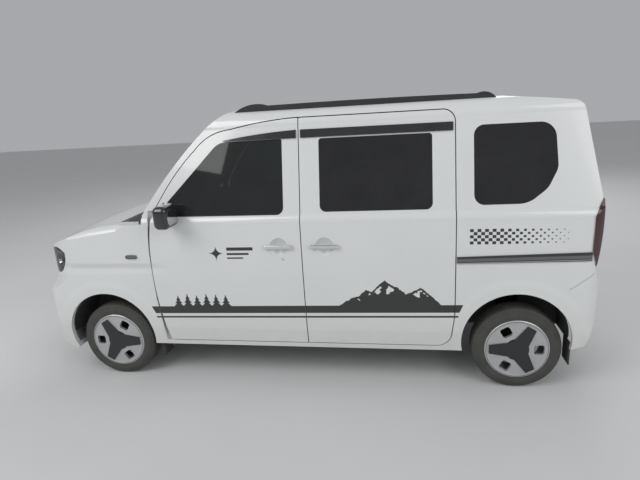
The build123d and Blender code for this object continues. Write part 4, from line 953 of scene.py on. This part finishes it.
def door_card(word, side):
    body = "front_door_" + word
    card("door_card_" + word, CARD, body, side, body)
    card("sliding_door_card_" + word, SLIDING_CARD, "sliding_doors", side, "body")
    grab = box(0.180, 0.420, side * 0.756, side * 0.715, 0.860, 0.900, 0.014, 4)
    settle(smooth(grab), "sliding_door_grab_" + word, "body", "cabin_plastic", trim_cloth)
    pieces = [
        box(-0.620, -0.140, side * 0.755, side * 0.690, 0.800, 0.850, 0.016, 4),
        box(-0.600, -0.420, side * 0.756, side * 0.738, 0.930, 0.990, 0.010, 3)]
    settle(smooth(joined(*pieces)), "door_arm_rest_" + word, body, "cabin_plastic", trim_cloth)
    rings = []
    for r0, r1, depth in ((0.072, 0.084, 0.010), (0.040, 0.046, 0.007), (0.058, 0.062, 0.006)):
        rings.append(turned(
            [(r0, 0.0), (r1, 0.0), (r1 - 0.002, depth), (r0 + 0.002, depth)], (-0.800, side * 0.752, 0.520),
            (0, -side, 0), 48))
    settle(smooth(joined(*rings)), "door_speaker_" + word, body, "cabin_plastic", black)
    crank = box(-0.560, -0.500, side * 0.742, side * 0.730, 0.948, 0.966, 0.005, 3)
    settle(smooth(crank), "inner_door_pull_" + word, body, "handle_chrome")


for word, side in SIDES:
    door_card(word, side)


# Dashboard: dial hood, screen, air vents, glove box lid, pedals and gear knob
def dashboard_details():
    hood = prism([
        (-0.905, -DRIVER_Y - 0.150, 1.110), (-0.905, -DRIVER_Y - 0.130, 1.165), (-0.905, -DRIVER_Y - 0.060, 1.190),
        (-0.905, -DRIVER_Y + 0.060, 1.190), (-0.905, -DRIVER_Y + 0.130, 1.165), (-0.905, -DRIVER_Y + 0.150, 1.110)],
        (0.165, 0, 0), 0.012, 3)
    settle(smooth(hood), "dial_hood", "body", "cabin_plastic")
    dial = box(-0.741, -0.7375, -DRIVER_Y - 0.110, -DRIVER_Y + 0.110, 1.115, 1.168, 0.0012)
    settle(dial, "dial_window", "body", "cabin_plastic", dial_glass)
    screen = box(-0.790, -0.765, -0.125, 0.125, 1.105, 1.250, 0.008)
    stand = box(-0.830, -0.785, -0.050, 0.050, 1.095, 1.150, 0.008)
    settle(smooth(joined(screen, stand)), "centre_screen_case", "body", "cabin_plastic")
    face = box(-0.7655, -0.7635, -0.116, 0.116, 1.114, 1.241, 0.0008)
    settle(face, "centre_screen", "body", "cabin_plastic", dial_glass)
    vents = []
    for y in (-0.600, -0.105, 0.105, 0.600):
        vents.append(box(-0.722, -0.700, y - 0.058, y + 0.058, 1.010, 1.068, 0.006))
        for i in range(4):
            vents.append(box(-0.703, -0.694, y - 0.050, y + 0.050, 1.018 + 0.012 * i, 1.021 + 0.012 * i, 0.0008, 1))
    settle(smooth(joined(*vents)), "air_vents", "body", "black_plastic")
    lid = box(-0.745, -0.722, 0.180, 0.560, 0.800, 0.960, 0.010)
    latch = box(-0.724, -0.715, 0.340, 0.400, 0.925, 0.945, 0.004)
    settle(smooth(joined(lid, latch)), "glove_box_lid", "body", "cabin_plastic")
    knob = turned(
        [(0.0001, 0.0), (0.011, 0.0), (0.010, 0.055), (0.022, 0.075), (0.024, 0.095), (0.016, 0.112),
         (0.0001, 0.116)], (-0.660, 0.0, 0.856), (0, 0, 1), 32)
    settle(smooth(knob, 50), "gear_knob", "body", "steering_rim")
    pedals = []
    for y, wide in ((-DRIVER_Y - 0.060, 0.045), (-DRIVER_Y + 0.070, 0.026)):
        pedals.append(box(-0.985, -0.970, y - wide, y + wide, 0.455, 0.520, 0.006))
        pedals.append(box(-1.000, -0.982, y - 0.008, y + 0.008, 0.480, 0.720, 0.003))
    settle(smooth(joined(*pedals)), "pedals", "body", "black_plastic")


dashboard_details()


# Cabin ceiling, seat belts, rear-view mirror, and what stands on the tray under the bonnet
def ceiling():
    sheet = drawn([(-0.42, -0.50, 1.70), (1.60, -0.50, 1.70), (1.60, 0.50, 1.70), (-0.42, 0.50, 1.70)])
    cut_up(sheet, 0.080, (0, 1))
    lay_on(sheet, nodes["roof_panel"], 0.004, "z")
    thickened(sheet, 0.006, 0.0)
    settle(smooth(sheet), "ceiling_lining", "body", "cabin_plastic", trim_cloth)
    head = box(-0.530, -0.512, -0.120, 0.120, 1.565, 1.630, 0.008)
    stem = box(-0.522, -0.500, -0.010, 0.010, 1.610, 1.700, 0.003)
    settle(smooth(joined(head, stem)), "rear_view_mirror", "body", "black_plastic")


def belt(word, side):
    outline = [
        (0.028, side * 0.668, 0.480), (0.074, side * 0.668, 0.480), (0.074, side * 0.668, 1.150),
        (0.074, side * 0.640, 1.400), (0.028, side * 0.640, 1.400), (0.028, side * 0.668, 1.150)]
    settle(prism(outline, (0, side * 0.0016, 0)), "belt_" + word, "body", "seat_fabric", belt_webbing)
    top = box(0.016, 0.086, side * 0.652, side * 0.634, 1.385, 1.425, 0.006)
    reel = box(0.010, 0.092, side * 0.700, side * 0.655, 0.440, 0.540, 0.008)
    buckle = box(-0.060, -0.030, side * 0.118, side * 0.102, 0.640, 0.760, 0.005)
    settle(smooth(joined(top, reel, buckle)), "belt_fittings_" + word, "body", "black_plastic")


def front_compartment():
    block = box(-1.600, -1.400, -0.565, -0.420, 0.912, 0.975, 0.006)
    lid = box(-1.605, -1.395, -0.570, -0.415, 0.968, 0.984, 0.004)
    settle(smooth(joined(block, lid)), "starter_battery", "body", "black_plastic")
    posts = []
    for x in (-1.570, -1.430):
        posts.append(turned(
            [(0.0001, 0.0), (0.009, 0.0), (0.008, 0.014), (0.0001, 0.014)], (x, -0.450, 0.983), (0, 0, 1), 24))
    settle(smooth(joined(*posts)), "battery_posts", "body", "handle_chrome", bolt_steel)
    tank = box(-1.580, -1.440, 0.430, 0.560, 0.912, 0.968, 0.012, 4)
    settle(smooth(tank), "washer_tank", "body", "lamp_lens", lamp_bead)
    cap = turned(
        [(0.0001, 0.0), (0.026, 0.0), (0.026, 0.012), (0.022, 0.016), (0.0001, 0.016)], (-1.510, 0.495, 0.967),
        (0, 0, 1), 36)
    settle(smooth(cap), "washer_cap", "body", "black_plastic")


def rail_collars(word, side):
    bands = [
        box(x - 0.006, x + 0.006, side * 0.5800, side * 0.5440, 1.846, 1.8748, 0.002, 2) for x in (0.630, 0.745)]
    settle(smooth(joined(*bands)), "rail_collars_" + word, "body", "rail_metal", black)


ceiling()
front_compartment()
for word, side in SIDES:
    belt(word, side)
    rail_collars(word, side)


# Door locks, mirror glasses and the sail plates that carry the mirrors
def lock_barrel(word, side):
    y = side * 0.8125
    barrel = turned(
        [(0.0001, -0.004), (0.0105, -0.004), (0.0105, 0.0015), (0.009, 0.003), (0.0035, 0.003), (0.0030, 0.0018),
         (0.0001, 0.0018)], (-0.046, y, 0.908), (0, side, 0), 32)
    settle(smooth(barrel, 40), "lock_barrel_" + word, "front_door_" + word, "handle_chrome")


SAIL = ((-0.890, 1.197), (-0.835, 1.197), (-0.835, 1.280), (-0.846, 1.292), (-0.858, 1.280))


def sail_plate(word, side):
    plate = drawn([(x, side * 0.860, z) for x, z in SAIL])
    cut_up(plate, 0.016)
    lay_on(plate, nodes["front_door_" + word], 0.0008)
    thickened(plate, 0.003, 0.0)
    settle(smooth(plate), "mirror_sail_" + word, "front_door_" + word, "mirror_shell")


def mirror(word, side):
    """The mirror's case with its corners worn soft, and the glass in its recess."""
    case = merged_copy("door_mirror_" + word)
    finish_with(case, "REMESH", mode="VOXEL", voxel_size=0.0035)
    finish_with(case, "SMOOTH", factor=0.5, iterations=8)
    settle(smooth(case, 60), "mirror_case_" + word, "front_door_" + word, "mirror_shell")
    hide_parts("door_mirror_" + word)
    y = side * 0.897
    glass_face = prism(
        [(-0.7300, y + a, 1.226 + b) for a, b in (
            (-0.066, -0.030), (-0.050, -0.052), (0.050, -0.052), (0.066, -0.030), (0.066, 0.030), (0.050, 0.052),
            (-0.050, 0.052), (-0.066, 0.030))], (0.0035, 0, 0), 0.0008)
    settle(glass_face, "mirror_glass_" + word, "front_door_" + word, "handle_chrome", mirror_silver)


for word, side in SIDES:
    lock_barrel(word, side)
    sail_plate(word, side)
    mirror(word, side)


# Floor, world light, lamps and camera
FLOOR_DARK, FLOOR_LIGHT = (0.60, 0.605, 0.61), (0.66, 0.665, 0.66)
SKY_COLOUR, SKY_STRENGTH = (0.80, 0.82, 0.85, 1), 0.48


def stage():
    bpy.ops.object.select_all(action="DESELECT")
    bpy.ops.mesh.primitive_plane_add(size=60, location=(0, 0, -0.001))
    floor = bpy.context.object
    floor.name = "floor"
    made, tree, shader = finish("floor_grey", 0.75)
    set_in(tree, shader, "Base Color", mixed(tree, cloud(tree, 0.8, 4.0), FLOOR_DARK, FLOOR_LIGHT))
    floor.data.materials.append(made)
    world = bpy.data.worlds.new("studio")
    bpy.context.scene.world = world
    world.use_nodes = True
    sky = world.node_tree.nodes["Background"]
    sky.inputs["Color"].default_value = SKY_COLOUR
    sky.inputs["Strength"].default_value = SKY_STRENGTH


def soft_lamp(name, place, aim, size, power):
    bpy.ops.object.light_add(type="AREA", location=place)
    lamp = bpy.context.object
    lamp.name = name
    lamp.data.size = size
    lamp.data.energy = power
    lamp.rotation_euler = (Vector(aim) - Vector(place)).to_track_quat("-Z", "Y").to_euler()


stage()
# Name, place, height aimed at, size in metres and power in watts
for name, place, aim_z, size, power in (
        ("key_lamp", (-4.5, -5.5, 6.0), 0.8, 5.0, 300),
        ("fill_lamp", (5.5, -5.0, 4.5), 0.9, 5.0, 170),
        ("back_lamp", (1.0, 6.5, 6.0), 1.0, 6.0, 230)):
    soft_lamp(name, place, (0.0, 0.0, aim_z), size, power)

CAMERA_PLACE = (0.71876, -3.69306, 1.83141)
CAMERA_RIGHT = Vector((0.98542769, 0.15988372, -0.05804715))
CAMERA_DOWN = Vector((-0.01305546, -0.2691617, -0.96300651))
CAMERA_AHEAD = Vector((-0.16959313, 0.94973111, -0.26315203))
CAMERA_LENS, CAMERA_SENSOR = 27.0, 36.0
bpy.ops.object.camera_add(location=CAMERA_PLACE)
camera = bpy.context.object
turn = Matrix((CAMERA_RIGHT, -CAMERA_DOWN, -CAMERA_AHEAD)).transposed()
camera.rotation_euler = turn.to_euler()
camera.data.lens = CAMERA_LENS
camera.data.sensor_width = CAMERA_SENSOR
bpy.context.scene.camera = camera
bpy.context.scene.view_settings.view_transform = "Standard"
